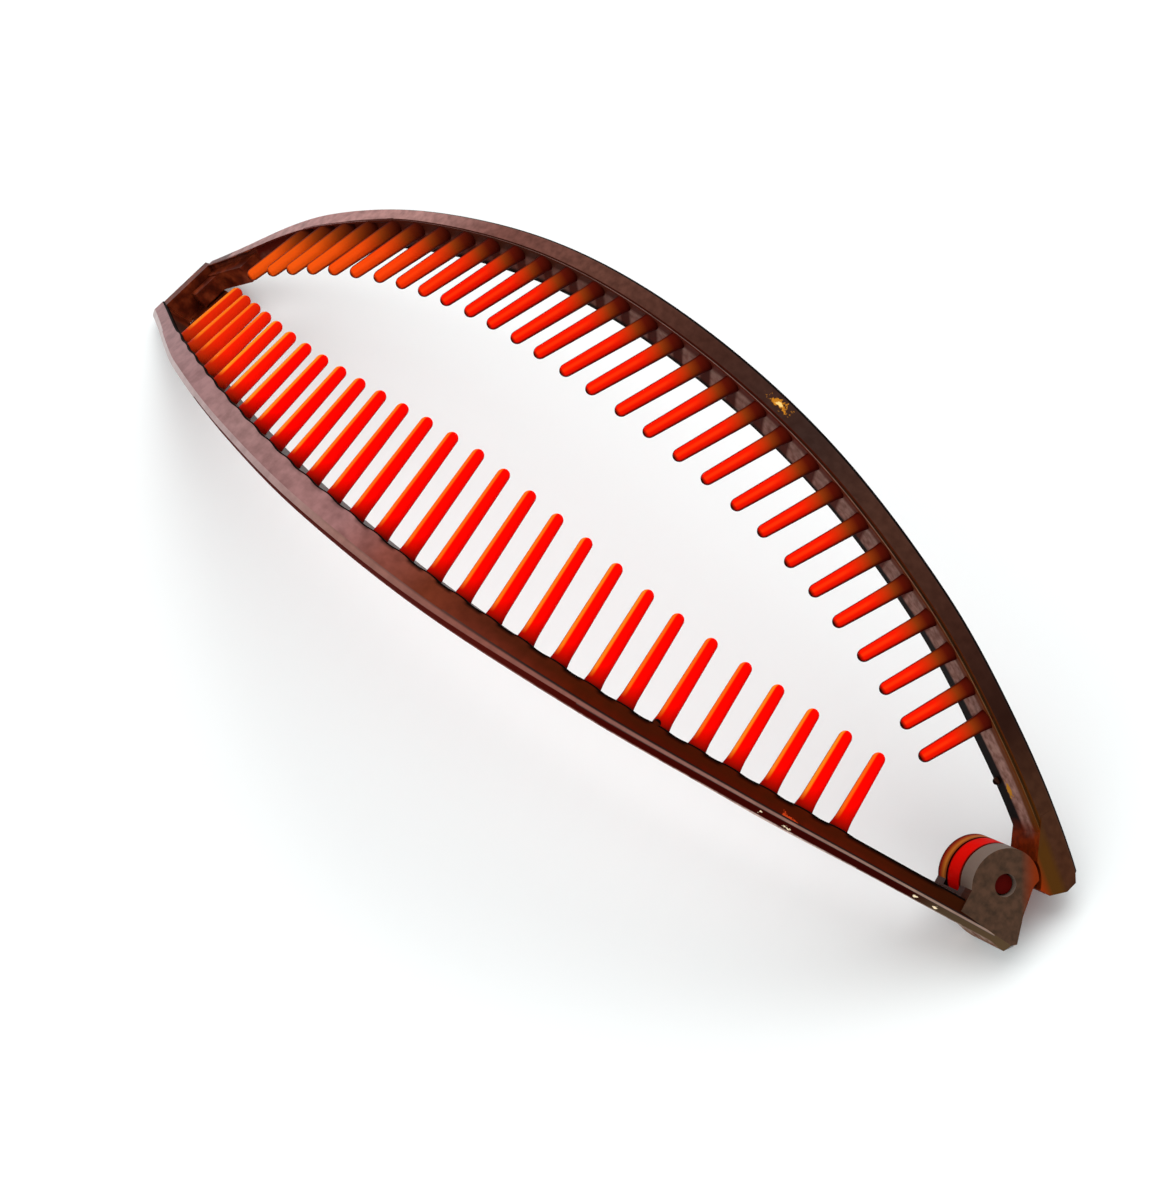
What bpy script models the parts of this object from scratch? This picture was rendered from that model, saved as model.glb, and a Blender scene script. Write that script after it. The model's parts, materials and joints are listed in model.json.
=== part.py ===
"""Banana hair clip: two arched combs that meet as a lens, pinned at one end and clasped at the other.

Lengths are in millimetres until a point goes into a mesh, where MM turns them to metres.
A place on the clip is given by three numbers:
    along   millimetres along the arched spine, 0 at the crown, negative to the clasp, positive to the hinge
    across  millimetres sideways, negative on the lower comb, positive on the upper comb
    proud   millimetres out of the arch, along the spine's normal, on its convex side
"""

from math import atan2, cos, pi, radians, sin

import bmesh
import bpy
from mathutils import Matrix, Vector

MM = 0.001

# The arch and the two arms. Each row is a station along the spine.
# slope is the spine's angle to the floor in degrees, and the edges are the combs' outer edges.
ARCH = [
    # along  slope  lower_edge  upper_edge
    (-78.0, 37.0, -9.9, -3.4),
    (-70.0, 37.0, -12.1, 1.5),
    (-62.0, 36.5, -14.5, 6.9),
    (-55.0, 34.0, -16.4, 10.1),
    (-36.0, 22.5, -20.3, 15.9),
    (-16.0, 12.5, -22.8, 20.1),
    (5.0, -2.0, -22.9, 21.7),
    (26.0, -16.5, -19.9, 21.0),
    (46.0, -27.0, -14.9, 17.6),
    (62.0, -42.0, -9.8, 13.0),
    (76.0, -57.0, -4.9, 8.4),
    (82.0, -62.0, -2.6, 6.2),
]

# The arms' section. width is across the convex face, depth is through the arch,
# and lean is how far the hidden side is set in toward the opening.
SECTION = [
    # along  lower_width  upper_width  lower_depth  upper_depth  lean
    (-78.0, 2.3, 1.3, 3.6, 3.6, 0.6),
    (-67.0, 2.5, 1.3, 3.6, 3.6, 0.8),
    (-57.0, 3.0, 1.6, 3.7, 3.7, 0.9),
    (-45.0, 3.2, 2.1, 3.8, 3.8, 1.0),
    (0.0, 3.6, 2.7, 4.9, 4.9, 1.2),
    (30.0, 3.1, 2.8, 6.0, 6.0, 1.0),
    (57.0, 2.9, 2.9, 7.2, 6.9, 0.6),
    (70.0, 2.9, 3.0, 7.5, 6.0, 0.4),
    (82.0, 2.9, 3.0, 7.8, 5.5, 0.3),
]
FACE = 2.0
CHAMFER = 0.5
SMALL_CHAMFER = 0.25
SPINE_STEP = 0.5
SPINE_REACH = 92.0
ARM_STEP = 4.0
ARM_PAST_PIN = 5.2

# The teeth. reach is how far a tooth runs from its arm's inner edge, and trail is how far
# its tip falls back toward the clasp.
TEETH = [
    # along  lower_reach  upper_reach  lower_trail  upper_trail
    (-65.0, 9.1, 8.6, 2.7, 2.8),
    (-35.0, 11.6, 9.4, 2.6, 2.7),
    (-15.0, 13.8, 10.7, 3.6, 2.9),
    (0.0, 15.0, 11.3, 3.9, 3.4),
    (15.0, 13.8, 10.9, 3.8, 2.9),
    (30.0, 11.9, 9.8, 3.0, 2.6),
    (62.0, 8.8, 8.4, 2.0, 2.2),
]
LOWER_TEETH = 28
UPPER_TEETH = 29
LOWER_TEETH_FROM = -60.9
LOWER_TEETH_TO = 55.4
UPPER_TEETH_FROM = -58.0
UPPER_TEETH_TO = 58.5
TOOTH_PROUD = 1.0
LOWER_TIP_RISE = -1.1
UPPER_TIP_RISE = 0.2
TOOTH_ROOT_R = 0.98
TOOTH_TIP_R = 0.75
TOOTH_SIDES = 8
TOOTH_BITE = 1.2
TOOTH_DOME = (0.0, 35.0, 65.0)
WALK_STEPS = 400

# The hinge: two ears on the lower comb, the upper comb's lug between them, and a pin.
PIN_ALONG = 72.6
PIN_ACROSS = 0.3
PIN_R = 1.1
EAR_HOLE_R = 1.3
LUG_HOLE_R = 1.4
EAR_R = 4.1
LUG_R = 4.1
KNUCKLE_CLEAR = 0.4
PIN_SUNK = 0.6
SLOT_REACH = 12.0
LUG_BLOCK_BELOW = 0.6
FRONT_EAR = (-0.5, 2.2)
LUG = (-3.6, -0.8)
REAR_EAR = (-5.8, -3.9)
ROUND_SIDES = 32
CUT_PAST = 1.0

# The clasp: a catch wall across the end of the lower comb, and the upper comb's tongue inside it.
LOWER_END = -75.6
CATCH_THICK = 1.6
CATCH_PROUD = 0.15
CATCH_ACROSS = (-9.4, -1.3)
UPPER_END = -69.0
NECK_END = (-73.5, -2.7, 0.2)
NECK_ROOT = (-66.5, -0.2, 2.9)
NECK_PROUD = (-1.3, 1.1)
TONGUE_ALONG = (-73.4, -71.7)
TONGUE_ACROSS = (-5.6, -1.9)
TONGUE_PROUD = (-1.1, 0.9)

# The ends are ground flat where they stand.
FOOT_TRIM = 0.35
CLASP_FOOT = (-75.6, -1.6)
HINGE_FOOT = (78.2, -5.8)
FLOOR_BLOCK = 0.4


def smooth(rows, column, along):
    """Reads one column of a table at a place between its rows, on a smooth curve through them."""
    places = [row[0] for row in rows]
    values = [row[column] for row in rows]
    last = len(rows) - 1
    low = 0
    while low < last - 1 and along > places[low + 1]:
        low += 1
    span = places[low + 1] - places[low]
    part = (along - places[low]) / span

    def steepness(i):
        before = max(i - 1, 0)
        after = min(i + 1, last)
        return (values[after] - values[before]) / (places[after] - places[before])

    rise = values[low + 1] - values[low]
    start = steepness(low) * span
    end = steepness(low + 1) * span
    bend = 3.0 * rise - 2.0 * start - end
    twist = start + end - 2.0 * rise
    return values[low] + start * part + bend * part ** 2 + twist * part ** 3


def walk_spine():
    """Walks the spine both ways from the crown and keeps (along, x, z) at each step."""
    walks = []
    for way in (-1.0, 1.0):
        x, z, along = 0.0, 0.0, 0.0
        steps = []
        while abs(along) < SPINE_REACH:
            middle = radians(smooth(ARCH, 1, along + way * SPINE_STEP / 2.0))
            x += way * SPINE_STEP * cos(middle)
            z += way * SPINE_STEP * sin(middle)
            along += way * SPINE_STEP
            steps.append((along, x, z))
        walks.append(steps)
    return list(reversed(walks[0])) + [(0.0, 0.0, 0.0)] + walks[1]


SPINE = walk_spine()


def spine_point(along):
    """The spine's own x and z at a place along it."""
    index = int((along - SPINE[0][0]) / SPINE_STEP)
    index = min(max(index, 0), len(SPINE) - 2)
    near, far = SPINE[index], SPINE[index + 1]
    part = (along - near[0]) / SPINE_STEP
    return near[1] + part * (far[1] - near[1]), near[2] + part * (far[2] - near[2])


def loose(along, across, proud):
    """A place on the clip before it is set down on the floor."""
    x, z = spine_point(along)
    slope = radians(smooth(ARCH, 1, along))
    return Vector((x - proud * sin(slope), across, z + proud * cos(slope)))


def set_down():
    """The turn and lift that put the clasp's foot and the hinge's foot on the floor."""
    clasp = loose(CLASP_FOOT[0], 0.0, CLASP_FOOT[1])
    hinge = loose(HINGE_FOOT[0], 0.0, HINGE_FOOT[1])
    tilt = atan2(hinge.z - clasp.z, hinge.x - clasp.x)
    turn = Matrix.Rotation(tilt, 4, "Y")
    lowest = (turn @ clasp).z
    return Matrix.Translation((0.0, 0.0, -lowest - FOOT_TRIM)) @ turn


SET_DOWN = set_down()


def place(along, across, proud):
    """A place on the clip as it stands, in metres."""
    return (SET_DOWN @ loose(along, across, proud)) * MM


def hinge_frame():
    """The hinge's own frame: its first axis runs along the spine, its third is the pin's axis."""
    origin = place(PIN_ALONG, PIN_ACROSS, 0.0)
    out = (place(PIN_ALONG, PIN_ACROSS, 1.0) - origin).normalized()
    side = Vector((0.0, 1.0, 0.0))
    along = side.cross(out)
    frame = Matrix((along, side, out)).transposed().to_4x4()
    frame.translation = origin
    return frame


HINGE = hinge_frame()


def at_hinge(along, across, proud):
    """A place measured from the pin, in the hinge's frame, in metres."""
    return HINGE @ (Vector((along, across, proud)) * MM)


def clear_scene():
    for old in list(bpy.data.objects):
        bpy.data.objects.remove(old)


def make_object(name, bm):
    """Closes a bmesh into an object, with every face turned outward."""
    bmesh.ops.recalc_face_normals(bm, faces=bm.faces)
    mesh = bpy.data.meshes.new(name)
    bm.to_mesh(mesh)
    bm.free()
    made = bpy.data.objects.new(name, mesh)
    bpy.context.scene.collection.objects.link(made)
    return made


def skin(bm, rings):
    """Joins closed rings of points into one capped tube."""
    loops = [[bm.verts.new(point) for point in ring] for ring in rings]
    sides = len(loops[0])
    for near, far in zip(loops, loops[1:]):
        for i in range(sides):
            after = (i + 1) % sides
            bm.faces.new((near[i], near[after], far[after], far[i]))
    bm.faces.new(loops[0])
    bm.faces.new(list(reversed(loops[-1])))


def combine(body, tool, operation):
    """Adds the tool to the body, or cuts it out, and removes the tool."""
    step = body.modifiers.new("step", "BOOLEAN")
    step.operation = operation
    step.solver = "EXACT"
    step.object = tool
    graph = bpy.context.evaluated_depsgraph_get()
    result = bpy.data.meshes.new_from_object(body.evaluated_get(graph))
    body.modifiers.remove(step)
    body.data = result
    bpy.data.objects.remove(tool)


def arm_back(side, along):
    """How proud an arm's hidden side is. side is -1 for the lower comb and 1 for the upper."""
    return FACE - smooth(SECTION, 3 if side < 0 else 4, along)


def arm_section(side, along):
    """One section of an arm, as points round it."""
    edge = smooth(ARCH, 2 if side < 0 else 3, along)
    width = smooth(SECTION, 1 if side < 0 else 2, along)
    back = arm_back(side, along)
    lean = smooth(SECTION, 5, along)
    corners = [
        (CHAMFER, FACE),
        (0.0, FACE - CHAMFER),
        (lean, back + CHAMFER),
        (lean + CHAMFER, back),
        (lean + width - SMALL_CHAMFER, back),
        (lean + width, back + SMALL_CHAMFER),
        (width, FACE - SMALL_CHAMFER),
        (width - SMALL_CHAMFER, FACE),
    ]
    return [place(along, edge - side * inward, proud) for inward, proud in corners]


def arm(name, side, start, end):
    """The curved spine bar of one comb."""
    count = round((end - start) / ARM_STEP)
    bm = bmesh.new()
    skin(bm, [arm_section(side, start + (end - start) * i / count) for i in range(count + 1)])
    return make_object(name, bm)


def inner_edge(side, along):
    """How far across an arm's inner edge lies."""
    edge = smooth(ARCH, 2 if side < 0 else 3, along)
    return edge - side * smooth(SECTION, 1 if side < 0 else 2, along)


def tooth_places(side, start, end, count):
    """Spreads the teeth evenly along an arm's own length, from the clasp to the hinge."""
    walked = [0.0]
    for i in range(WALK_STEPS):
        near = start + (end - start) * i / WALK_STEPS
        far = start + (end - start) * (i + 1) / WALK_STEPS
        sideways = inner_edge(side, far) - inner_edge(side, near)
        walked.append(walked[-1] + ((far - near) ** 2 + sideways ** 2) ** 0.5)
    places = []
    for tooth in range(count):
        target = walked[-1] * tooth / (count - 1)
        index = min(i for i, length in enumerate(walked) if length >= target - 1e-9)
        places.append(start + (end - start) * index / WALK_STEPS)
    return places


def tooth(bm, side, along):
    """A tapered round tooth with a domed tip, rooted inside its arm."""
    root_across = inner_edge(side, along)
    reach = smooth(TEETH, 1 if side < 0 else 2, along)
    trail = smooth(TEETH, 3 if side < 0 else 4, along)
    rise = LOWER_TIP_RISE if side < 0 else UPPER_TIP_RISE
    root = place(along, root_across, TOOTH_PROUD)
    crosswise = Vector((0.0, -float(side), 0.0)) * reach * MM
    forward = (place(along + 1.0, root_across, TOOTH_PROUD) - root).normalized()
    outward = (place(along, root_across, TOOTH_PROUD + 1.0) - root).normalized()
    tip = root + crosswise - forward * trail * MM + outward * rise * MM
    axis = (tip - root).normalized()
    right = axis.cross(outward).normalized()
    up = right.cross(axis)
    length = (tip - root).length
    stages = [(-TOOTH_BITE * MM, TOOTH_ROOT_R), (length * 0.5, (TOOTH_ROOT_R + TOOTH_TIP_R) / 2.0)]
    dome = TOOTH_TIP_R * MM
    for angle in TOOTH_DOME:
        stages.append((length - dome + dome * sin(radians(angle)), TOOTH_TIP_R * cos(radians(angle))))
    rings = []
    for distance, radius in stages:
        centre = root + axis * distance
        ring = []
        for i in range(TOOTH_SIDES):
            turn = 2.0 * pi * (i + 0.5) / TOOTH_SIDES
            ring.append(centre + (right * cos(turn) + up * sin(turn)) * radius * MM)
        rings.append(ring)
    skin(bm, rings)


def teeth(name, side, start, end, count):
    """All the teeth of one comb in one object."""
    bm = bmesh.new()
    for along in tooth_places(side, start, end, count):
        tooth(bm, side, along)
    return make_object(name, bm)


def plate(name, outline, low, high):
    """A flat plate in the hinge's frame: an outline of (along, across), between two levels."""
    bm = bmesh.new()
    skin(bm, [[at_hinge(a, b, level) for a, b in outline] for level in (low, high)])
    return make_object(name, bm)


def arc(radius, start, end, sides=ROUND_SIDES):
    """Points round the pin, from one angle to another in degrees."""
    count = max(2, round(sides * abs(end - start) / 360.0))
    points = []
    for i in range(count + 1):
        turn = radians(start + (end - start) * i / count)
        points.append((radius * cos(turn), radius * sin(turn)))
    return points


def disc(name, radius, low, high):
    """A round plate on the pin's axis."""
    return plate(name, arc(radius, 0.0, 360.0)[:-1], low, high)


def ear_outline():
    """An ear: round on the side of the opening, cut straight at the end of the clip."""
    return arc(EAR_R, 52.0, 232.0) + [(-1.7, -5.7), (5.2, -4.8), (5.7, -3.4), (2.6, 2.3)]


def slot_outline():
    """The slot between the ears: round under the pin, and open toward the upper comb."""
    under = arc(EAR_R + KNUCKLE_CLEAR, -160.0, -10.0)
    beside = [(SLOT_REACH, under[-1][1]), (SLOT_REACH, SLOT_REACH), (-SLOT_REACH, SLOT_REACH)]
    return under + beside + [(-SLOT_REACH, under[0][1])]


def lug_block_outline():
    """The upper comb's end, where the arm thickens to meet the pin."""
    toward_the_pin = [(-2.6, 8.0), (0.4, 4.9), (3.0, 2.5), (4.9, 3.1)]
    return toward_the_pin + [(6.1, 4.9), (6.1, 6.3), (5.3, 6.9), (-2.4, 9.2)]


def beam(name, start, end, low, high):
    """A straight-sided bar along the spine between two ends, each an (along, across from, across to)."""
    bm = bmesh.new()
    rings = []
    for along, across_from, across_to in (start, end):
        rings.append([
            place(along, across_from, low),
            place(along, across_to, low),
            place(along, across_to, high),
            place(along, across_from, high),
        ])
    skin(bm, rings)
    return make_object(name, bm)


def floor_block():
    """A block under the floor, which trims the feet flat."""
    bm = bmesh.new()
    below = Matrix.Translation((0.0, 0.0, -FLOOR_BLOCK / 2.0))
    bmesh.ops.create_cube(bm, size=FLOOR_BLOCK, matrix=below)
    return make_object("floor_block", bm)


def build_lower_comb():
    """The lower comb: arm, teeth, two ears and the catch, moulded in one."""
    comb = arm("lower_comb", -1, LOWER_END, PIN_ALONG + ARM_PAST_PIN)
    combine(comb, teeth("teeth", -1, LOWER_TEETH_FROM, LOWER_TEETH_TO, LOWER_TEETH), "UNION")
    combine(comb, plate("ears", ear_outline(), REAR_EAR[0], FRONT_EAR[1]), "UNION")
    combine(comb, plate("slot", slot_outline(), REAR_EAR[1], FRONT_EAR[0]), "DIFFERENCE")
    ear_hole = disc("ear_hole", EAR_HOLE_R, REAR_EAR[0] - CUT_PAST, FRONT_EAR[1] + CUT_PAST)
    combine(comb, ear_hole, "DIFFERENCE")
    wall_low = arm_back(-1, LOWER_END) + CATCH_PROUD
    outside = (LOWER_END - CATCH_PROUD, *CATCH_ACROSS)
    inside = (LOWER_END + CATCH_THICK, *CATCH_ACROSS)
    combine(comb, beam("catch", outside, inside, wall_low, FACE - CATCH_PROUD), "UNION")
    combine(comb, floor_block(), "DIFFERENCE")
    return comb


def build_upper_comb():
    """The upper comb: arm, teeth, lug and tongue, moulded in one."""
    comb = arm("upper_comb", 1, UPPER_END, PIN_ALONG + ARM_PAST_PIN)
    combine(comb, teeth("teeth", 1, UPPER_TEETH_FROM, UPPER_TEETH_TO, UPPER_TEETH), "UNION")
    combine(comb, plate("lug_block", lug_block_outline(), LUG[0] - LUG_BLOCK_BELOW, FACE), "UNION")
    room = arc(EAR_R + KNUCKLE_CLEAR, -60.0, 240.0) + [(0.0, -2.0 * EAR_R)]
    combine(comb, plate("front_room", room, LUG[1], SLOT_REACH), "DIFFERENCE")
    combine(comb, plate("rear_room", room, -SLOT_REACH, LUG[0]), "DIFFERENCE")
    combine(comb, disc("lug", LUG_R, LUG[0], LUG[1]), "UNION")
    combine(comb, disc("lug_hole", LUG_HOLE_R, LUG[0] - CUT_PAST, LUG[1] + CUT_PAST), "DIFFERENCE")
    combine(comb, beam("neck", NECK_END, NECK_ROOT, *NECK_PROUD), "UNION")
    tip, root = [(along, *TONGUE_ACROSS) for along in TONGUE_ALONG]
    combine(comb, beam("tongue", tip, root, *TONGUE_PROUD), "UNION")
    combine(comb, floor_block(), "DIFFERENCE")
    return comb


def build_hinge_pin():
    """The pin, a little short of both ears' faces."""
    return disc("hinge_pin", PIN_R, REAR_EAR[0] + PIN_SUNK / 2.0, FRONT_EAR[1] - PIN_SUNK)


def plastic(name, colour, roughness):
    """A plain coloured plastic."""
    made = bpy.data.materials.new(name)
    made.use_nodes = True
    shader = made.node_tree.nodes["Principled BSDF"]
    shader.inputs["Base Color"].default_value = (*colour, 1.0)
    shader.inputs["Roughness"].default_value = roughness
    shader.inputs["Metallic"].default_value = 0.0
    return made


def shade(made, material):
    made.data.materials.clear()
    made.data.materials.append(material)
    made.data.shade_smooth()
    made.data.set_sharp_from_angle(angle=radians(35.0))


def centre_on_floor(pieces):
    """Moves the pieces so that the origin is under the middle of the whole clip, and returns the move."""
    corners = [vertex.co for piece in pieces for vertex in piece.data.vertices]
    middle_x = (min(c.x for c in corners) + max(c.x for c in corners)) / 2.0
    middle_y = (min(c.y for c in corners) + max(c.y for c in corners)) / 2.0
    move = Vector((-middle_x, -middle_y, 0.0))
    for piece in pieces:
        piece.data.transform(Matrix.Translation(move))
    return move


def hang_on_pin(piece, pin):
    """Puts a piece's origin on the hinge's axis, leaving the piece where it is."""
    piece.data.transform(Matrix.Translation(-pin))
    piece.location = pin


def main():
    clear_scene()
    lower = build_lower_comb()
    upper = build_upper_comb()
    pin = build_hinge_pin()
    shade(lower, plastic("lower_brown_plastic", (0.20, 0.05, 0.04), 0.35))
    shade(upper, plastic("upper_brown_plastic", (0.22, 0.06, 0.045), 0.35))
    shade(pin, plastic("pin_red_plastic", (0.16, 0.01, 0.01), 0.4))
    pin_point = HINGE.translation + centre_on_floor([lower, upper, pin])
    hang_on_pin(upper, pin_point)
    print("pin at", [round(value, 5) for value in pin_point])
    print("pin axis", [round(value, 5) for value in HINGE.col[2].to_3d()])


main()
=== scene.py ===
# %% [markdown]
# This lesson dresses a banana hair clip: two arched combs that meet as a lens, pinned together at one end
# and caught at the other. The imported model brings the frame: the solids, the bodies that move and the
# hinge. Everything below is modelled in the same place, finer than the solids, and rides on the same
# bodies.

import json
from math import atan2, cos, pi, radians, sin

import bmesh
import bpy
import numpy as np
from mathutils import Matrix, Vector


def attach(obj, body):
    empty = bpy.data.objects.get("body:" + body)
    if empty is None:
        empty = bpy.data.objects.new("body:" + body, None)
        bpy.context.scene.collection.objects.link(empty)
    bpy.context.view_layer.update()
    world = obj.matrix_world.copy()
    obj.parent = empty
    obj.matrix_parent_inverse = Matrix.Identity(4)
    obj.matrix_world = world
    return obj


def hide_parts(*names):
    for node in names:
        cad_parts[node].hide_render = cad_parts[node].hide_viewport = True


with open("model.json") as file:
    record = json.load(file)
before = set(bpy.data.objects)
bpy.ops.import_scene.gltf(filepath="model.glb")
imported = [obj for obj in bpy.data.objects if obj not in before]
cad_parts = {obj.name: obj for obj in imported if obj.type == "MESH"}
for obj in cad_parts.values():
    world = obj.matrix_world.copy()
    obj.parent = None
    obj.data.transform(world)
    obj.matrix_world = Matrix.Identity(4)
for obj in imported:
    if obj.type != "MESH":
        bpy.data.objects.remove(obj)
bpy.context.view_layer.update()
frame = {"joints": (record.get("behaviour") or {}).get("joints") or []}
HINGE_JOINT = frame["joints"][0]

# %% [markdown]
# The camera comes first, because every later choice is judged through it. It stands about half a metre away
# and 59 degrees above the floor, on the lower comb's side and toward the hinge, and it is turned about its
# own axis so that the clip runs down the picture from left to right. A long lens keeps the perspective
# gentle.

# %% The camera
CAMERA_AT = Vector((0.2730, -0.1110, 0.4990))
CAMERA_AIM = Vector((0.0090, -0.0061, 0.0170))
CAMERA_ROLL = radians(25.67)
LENS_MM = 153.85


def add_camera():
    data = bpy.data.cameras.new("camera")
    data.lens = LENS_MM
    data.sensor_fit = "HORIZONTAL"
    data.clip_start = 0.01
    camera = bpy.data.objects.new("camera", data)
    camera.location = CAMERA_AT
    look = (CAMERA_AIM - CAMERA_AT).to_track_quat("-Z", "Y").to_matrix()
    camera.rotation_euler = (look @ Matrix.Rotation(-CAMERA_ROLL, 3, "Z")).to_euler()
    bpy.context.scene.collection.objects.link(camera)
    bpy.context.scene.camera = camera


add_camera()

# %% [markdown]
# The clip follows one curve, its spine. A place on the clip is given by three numbers in millimetres: how
# far along the spine, how far across it, and how proud of it on the convex side. Two short tables drive
# everything, the arch with both combs' outer edges, and the arms' section. A smooth curve through the rows
# fills in between.

# %% The arch and the arms' section
MM = 0.001
ARCH = [
    # along  slope  lower_edge  upper_edge
    (-78.0, 37.0, -9.9, -3.4),
    (-70.0, 37.0, -12.1, 1.5),
    (-62.0, 36.5, -14.5, 6.9),
    (-55.0, 34.0, -16.4, 10.1),
    (-36.0, 22.5, -20.3, 15.9),
    (-16.0, 12.5, -22.8, 20.1),
    (5.0, -2.0, -22.9, 21.7),
    (26.0, -16.5, -19.9, 21.0),
    (46.0, -27.0, -14.9, 17.6),
    (62.0, -42.0, -9.8, 13.0),
    (76.0, -57.0, -4.9, 8.4),
    (82.0, -62.0, -2.6, 6.2),
]
SECTION = [
    # along  lower_width  upper_width  lower_depth  upper_depth  lean  lower_bevel  upper_step  lower_strip
    (-78.0, 2.3, 0.1, 3.6, 3.6, 0.6, 0.60, 0.00, 0.00),
    (-67.0, 2.5, 1.3, 3.6, 3.6, 0.8, 0.60, 0.00, 0.00),
    (-57.0, 3.0, 1.6, 3.7, 3.7, 0.9, 0.60, 0.05, 0.00),
    (-45.0, 3.2, 2.1, 3.8, 3.8, 1.0, 0.65, 0.10, 0.00),
    (0.0, 3.6, 2.7, 4.9, 4.9, 1.2, 0.90, 0.20, 0.05),
    (30.0, 3.1, 2.8, 6.0, 6.0, 1.0, 0.55, 0.35, 0.45),
    (57.0, 2.9, 2.9, 7.2, 6.9, 0.6, 0.36, 0.45, 0.65),
    (70.0, 2.9, 3.0, 7.5, 6.0, 0.4, 0.34, 0.45, 0.70),
    (82.0, 2.9, 3.0, 7.8, 5.5, 0.3, 0.34, 0.45, 0.70),
]
FACE = 2.0
CLASP_FOOT = (-75.6, -1.6)
HINGE_FOOT = (78.2, -5.8)
FOOT_TRIM = 0.35
PIN_ALONG = 72.6
PIN_ACROSS = 0.3
SPINE_STEP = 0.5
SPINE_REACH = 92.0


def smooth(rows, column, along):
    """Reads a table's column between its rows, on a smooth curve."""
    places = [row[0] for row in rows]
    values = [row[column] for row in rows]
    last = len(rows) - 1
    low = 0
    while low < last - 1 and along > places[low + 1]:
        low += 1
    span = places[low + 1] - places[low]
    part = (along - places[low]) / span

    def steepness(i):
        before = max(i - 1, 0)
        after = min(i + 1, last)
        return (values[after] - values[before]) / (places[after] - places[before])

    rise = values[low + 1] - values[low]
    start = steepness(low) * span
    end = steepness(low + 1) * span
    bend = 3.0 * rise - 2.0 * start - end
    twist = start + end - 2.0 * rise
    return values[low] + start * part + bend * part ** 2 + twist * part ** 3


def walk_spine():
    """Walks the spine both ways from the crown: (along, x, z) at each step."""
    walks = []
    for way in (-1.0, 1.0):
        x, z, along = 0.0, 0.0, 0.0
        steps = []
        while abs(along) < SPINE_REACH:
            middle = radians(smooth(ARCH, 1, along + way * SPINE_STEP / 2.0))
            x += way * SPINE_STEP * cos(middle)
            z += way * SPINE_STEP * sin(middle)
            along += way * SPINE_STEP
            steps.append((along, x, z))
        walks.append(steps)
    return list(reversed(walks[0])) + [(0.0, 0.0, 0.0)] + walks[1]


SPINE = walk_spine()


def loose(along, across, proud):
    """A place on the clip before it is set down on the floor, in millimetres."""
    index = int((along - SPINE[0][0]) / SPINE_STEP)
    index = min(max(index, 0), len(SPINE) - 2)
    near, far = SPINE[index], SPINE[index + 1]
    part = (along - near[0]) / SPINE_STEP
    x = near[1] + part * (far[1] - near[1])
    z = near[2] + part * (far[2] - near[2])
    slope = radians(smooth(ARCH, 1, along))
    return Vector((x - proud * sin(slope), across, z + proud * cos(slope)))


# %% [markdown]
# The clip stands on its two ends, so the loose curve is turned and lifted onto the floor. The hinge of the
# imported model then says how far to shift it, so the dressed clip lies exactly where the solids lie.


# %% Setting the clip down
def set_down():
    clasp = loose(CLASP_FOOT[0], 0.0, CLASP_FOOT[1])
    hinge = loose(HINGE_FOOT[0], 0.0, HINGE_FOOT[1])
    turn = Matrix.Rotation(atan2(hinge.z - clasp.z, hinge.x - clasp.x), 4, "Y")
    lowest = (turn @ clasp).z
    stand = Matrix.Scale(MM, 4) @ Matrix.Translation((0.0, 0.0, -lowest - FOOT_TRIM)) @ turn
    pin = stand @ loose(PIN_ALONG, PIN_ACROSS, 0.0)
    shift = Vector(HINGE_JOINT["pos_m"]) - pin
    shift.z = 0.0
    return Matrix.Translation(shift) @ stand


SET_DOWN = set_down()


def place(along, across, proud):
    """A place on the clip as it stands, in metres."""
    return SET_DOWN @ loose(along, across, proud)


def hinge_frame():
    """The hinge's own frame: along the spine, across it, and out along the pin."""
    origin = place(PIN_ALONG, PIN_ACROSS, 0.0)
    out = (place(PIN_ALONG, PIN_ACROSS, 1.0) - origin).normalized()
    side = Vector((0.0, 1.0, 0.0))
    turned = Matrix((side.cross(out), side, out)).transposed().to_4x4()
    turned.translation = origin
    return turned @ Matrix.Scale(MM, 4)


HINGE = hinge_frame()
PIN_GAP = (HINGE.translation - Vector(HINGE_JOINT["pos_m"])).length
print("the pin lies", round(PIN_GAP * 1000, 3), "mm from the packed hinge")

# %% [markdown]
# Each piece is a tube of rings, or a plate between two levels. Modifiers such as Curve or Screw could bend
# plain bars, but rings worked out from the clip's own measures put every edge where it belongs. Four
# helpers make the pieces: two turn rings into a closed skin, one makes the object, and one adds or cuts
# with an exact Boolean, as a mould maker adds and cuts.


# %% Helpers for meshes
def join(bm, loops):
    """Joins closed loops of mesh points into one capped tube."""
    sides = len(loops[0])
    for near, far in zip(loops, loops[1:]):
        for i in range(sides):
            after = (i + 1) % sides
            bm.faces.new((near[i], near[after], far[after], far[i]))
    bm.faces.new(loops[0])
    bm.faces.new(list(reversed(loops[-1])))


def skin(bm, rings):
    """Turns closed rings of places into one capped tube."""
    join(bm, [[bm.verts.new(point) for point in ring] for ring in rings])


def make_object(name, bm):
    bmesh.ops.recalc_face_normals(bm, faces=bm.faces)
    mesh = bpy.data.meshes.new(name)
    bm.to_mesh(mesh)
    bm.free()
    made = bpy.data.objects.new(name, mesh)
    bpy.context.scene.collection.objects.link(made)
    return made


def combine(body, tool, operation):
    """Adds the tool to the body, or cuts it out, and removes the tool."""
    step = body.modifiers.new("step", "BOOLEAN")
    step.operation = operation
    step.solver = "EXACT"
    step.object = tool
    graph = bpy.context.evaluated_depsgraph_get()
    result = bpy.data.meshes.new_from_object(body.evaluated_get(graph))
    body.modifiers.remove(step)
    body.data = result
    bpy.data.objects.remove(tool)


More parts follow.
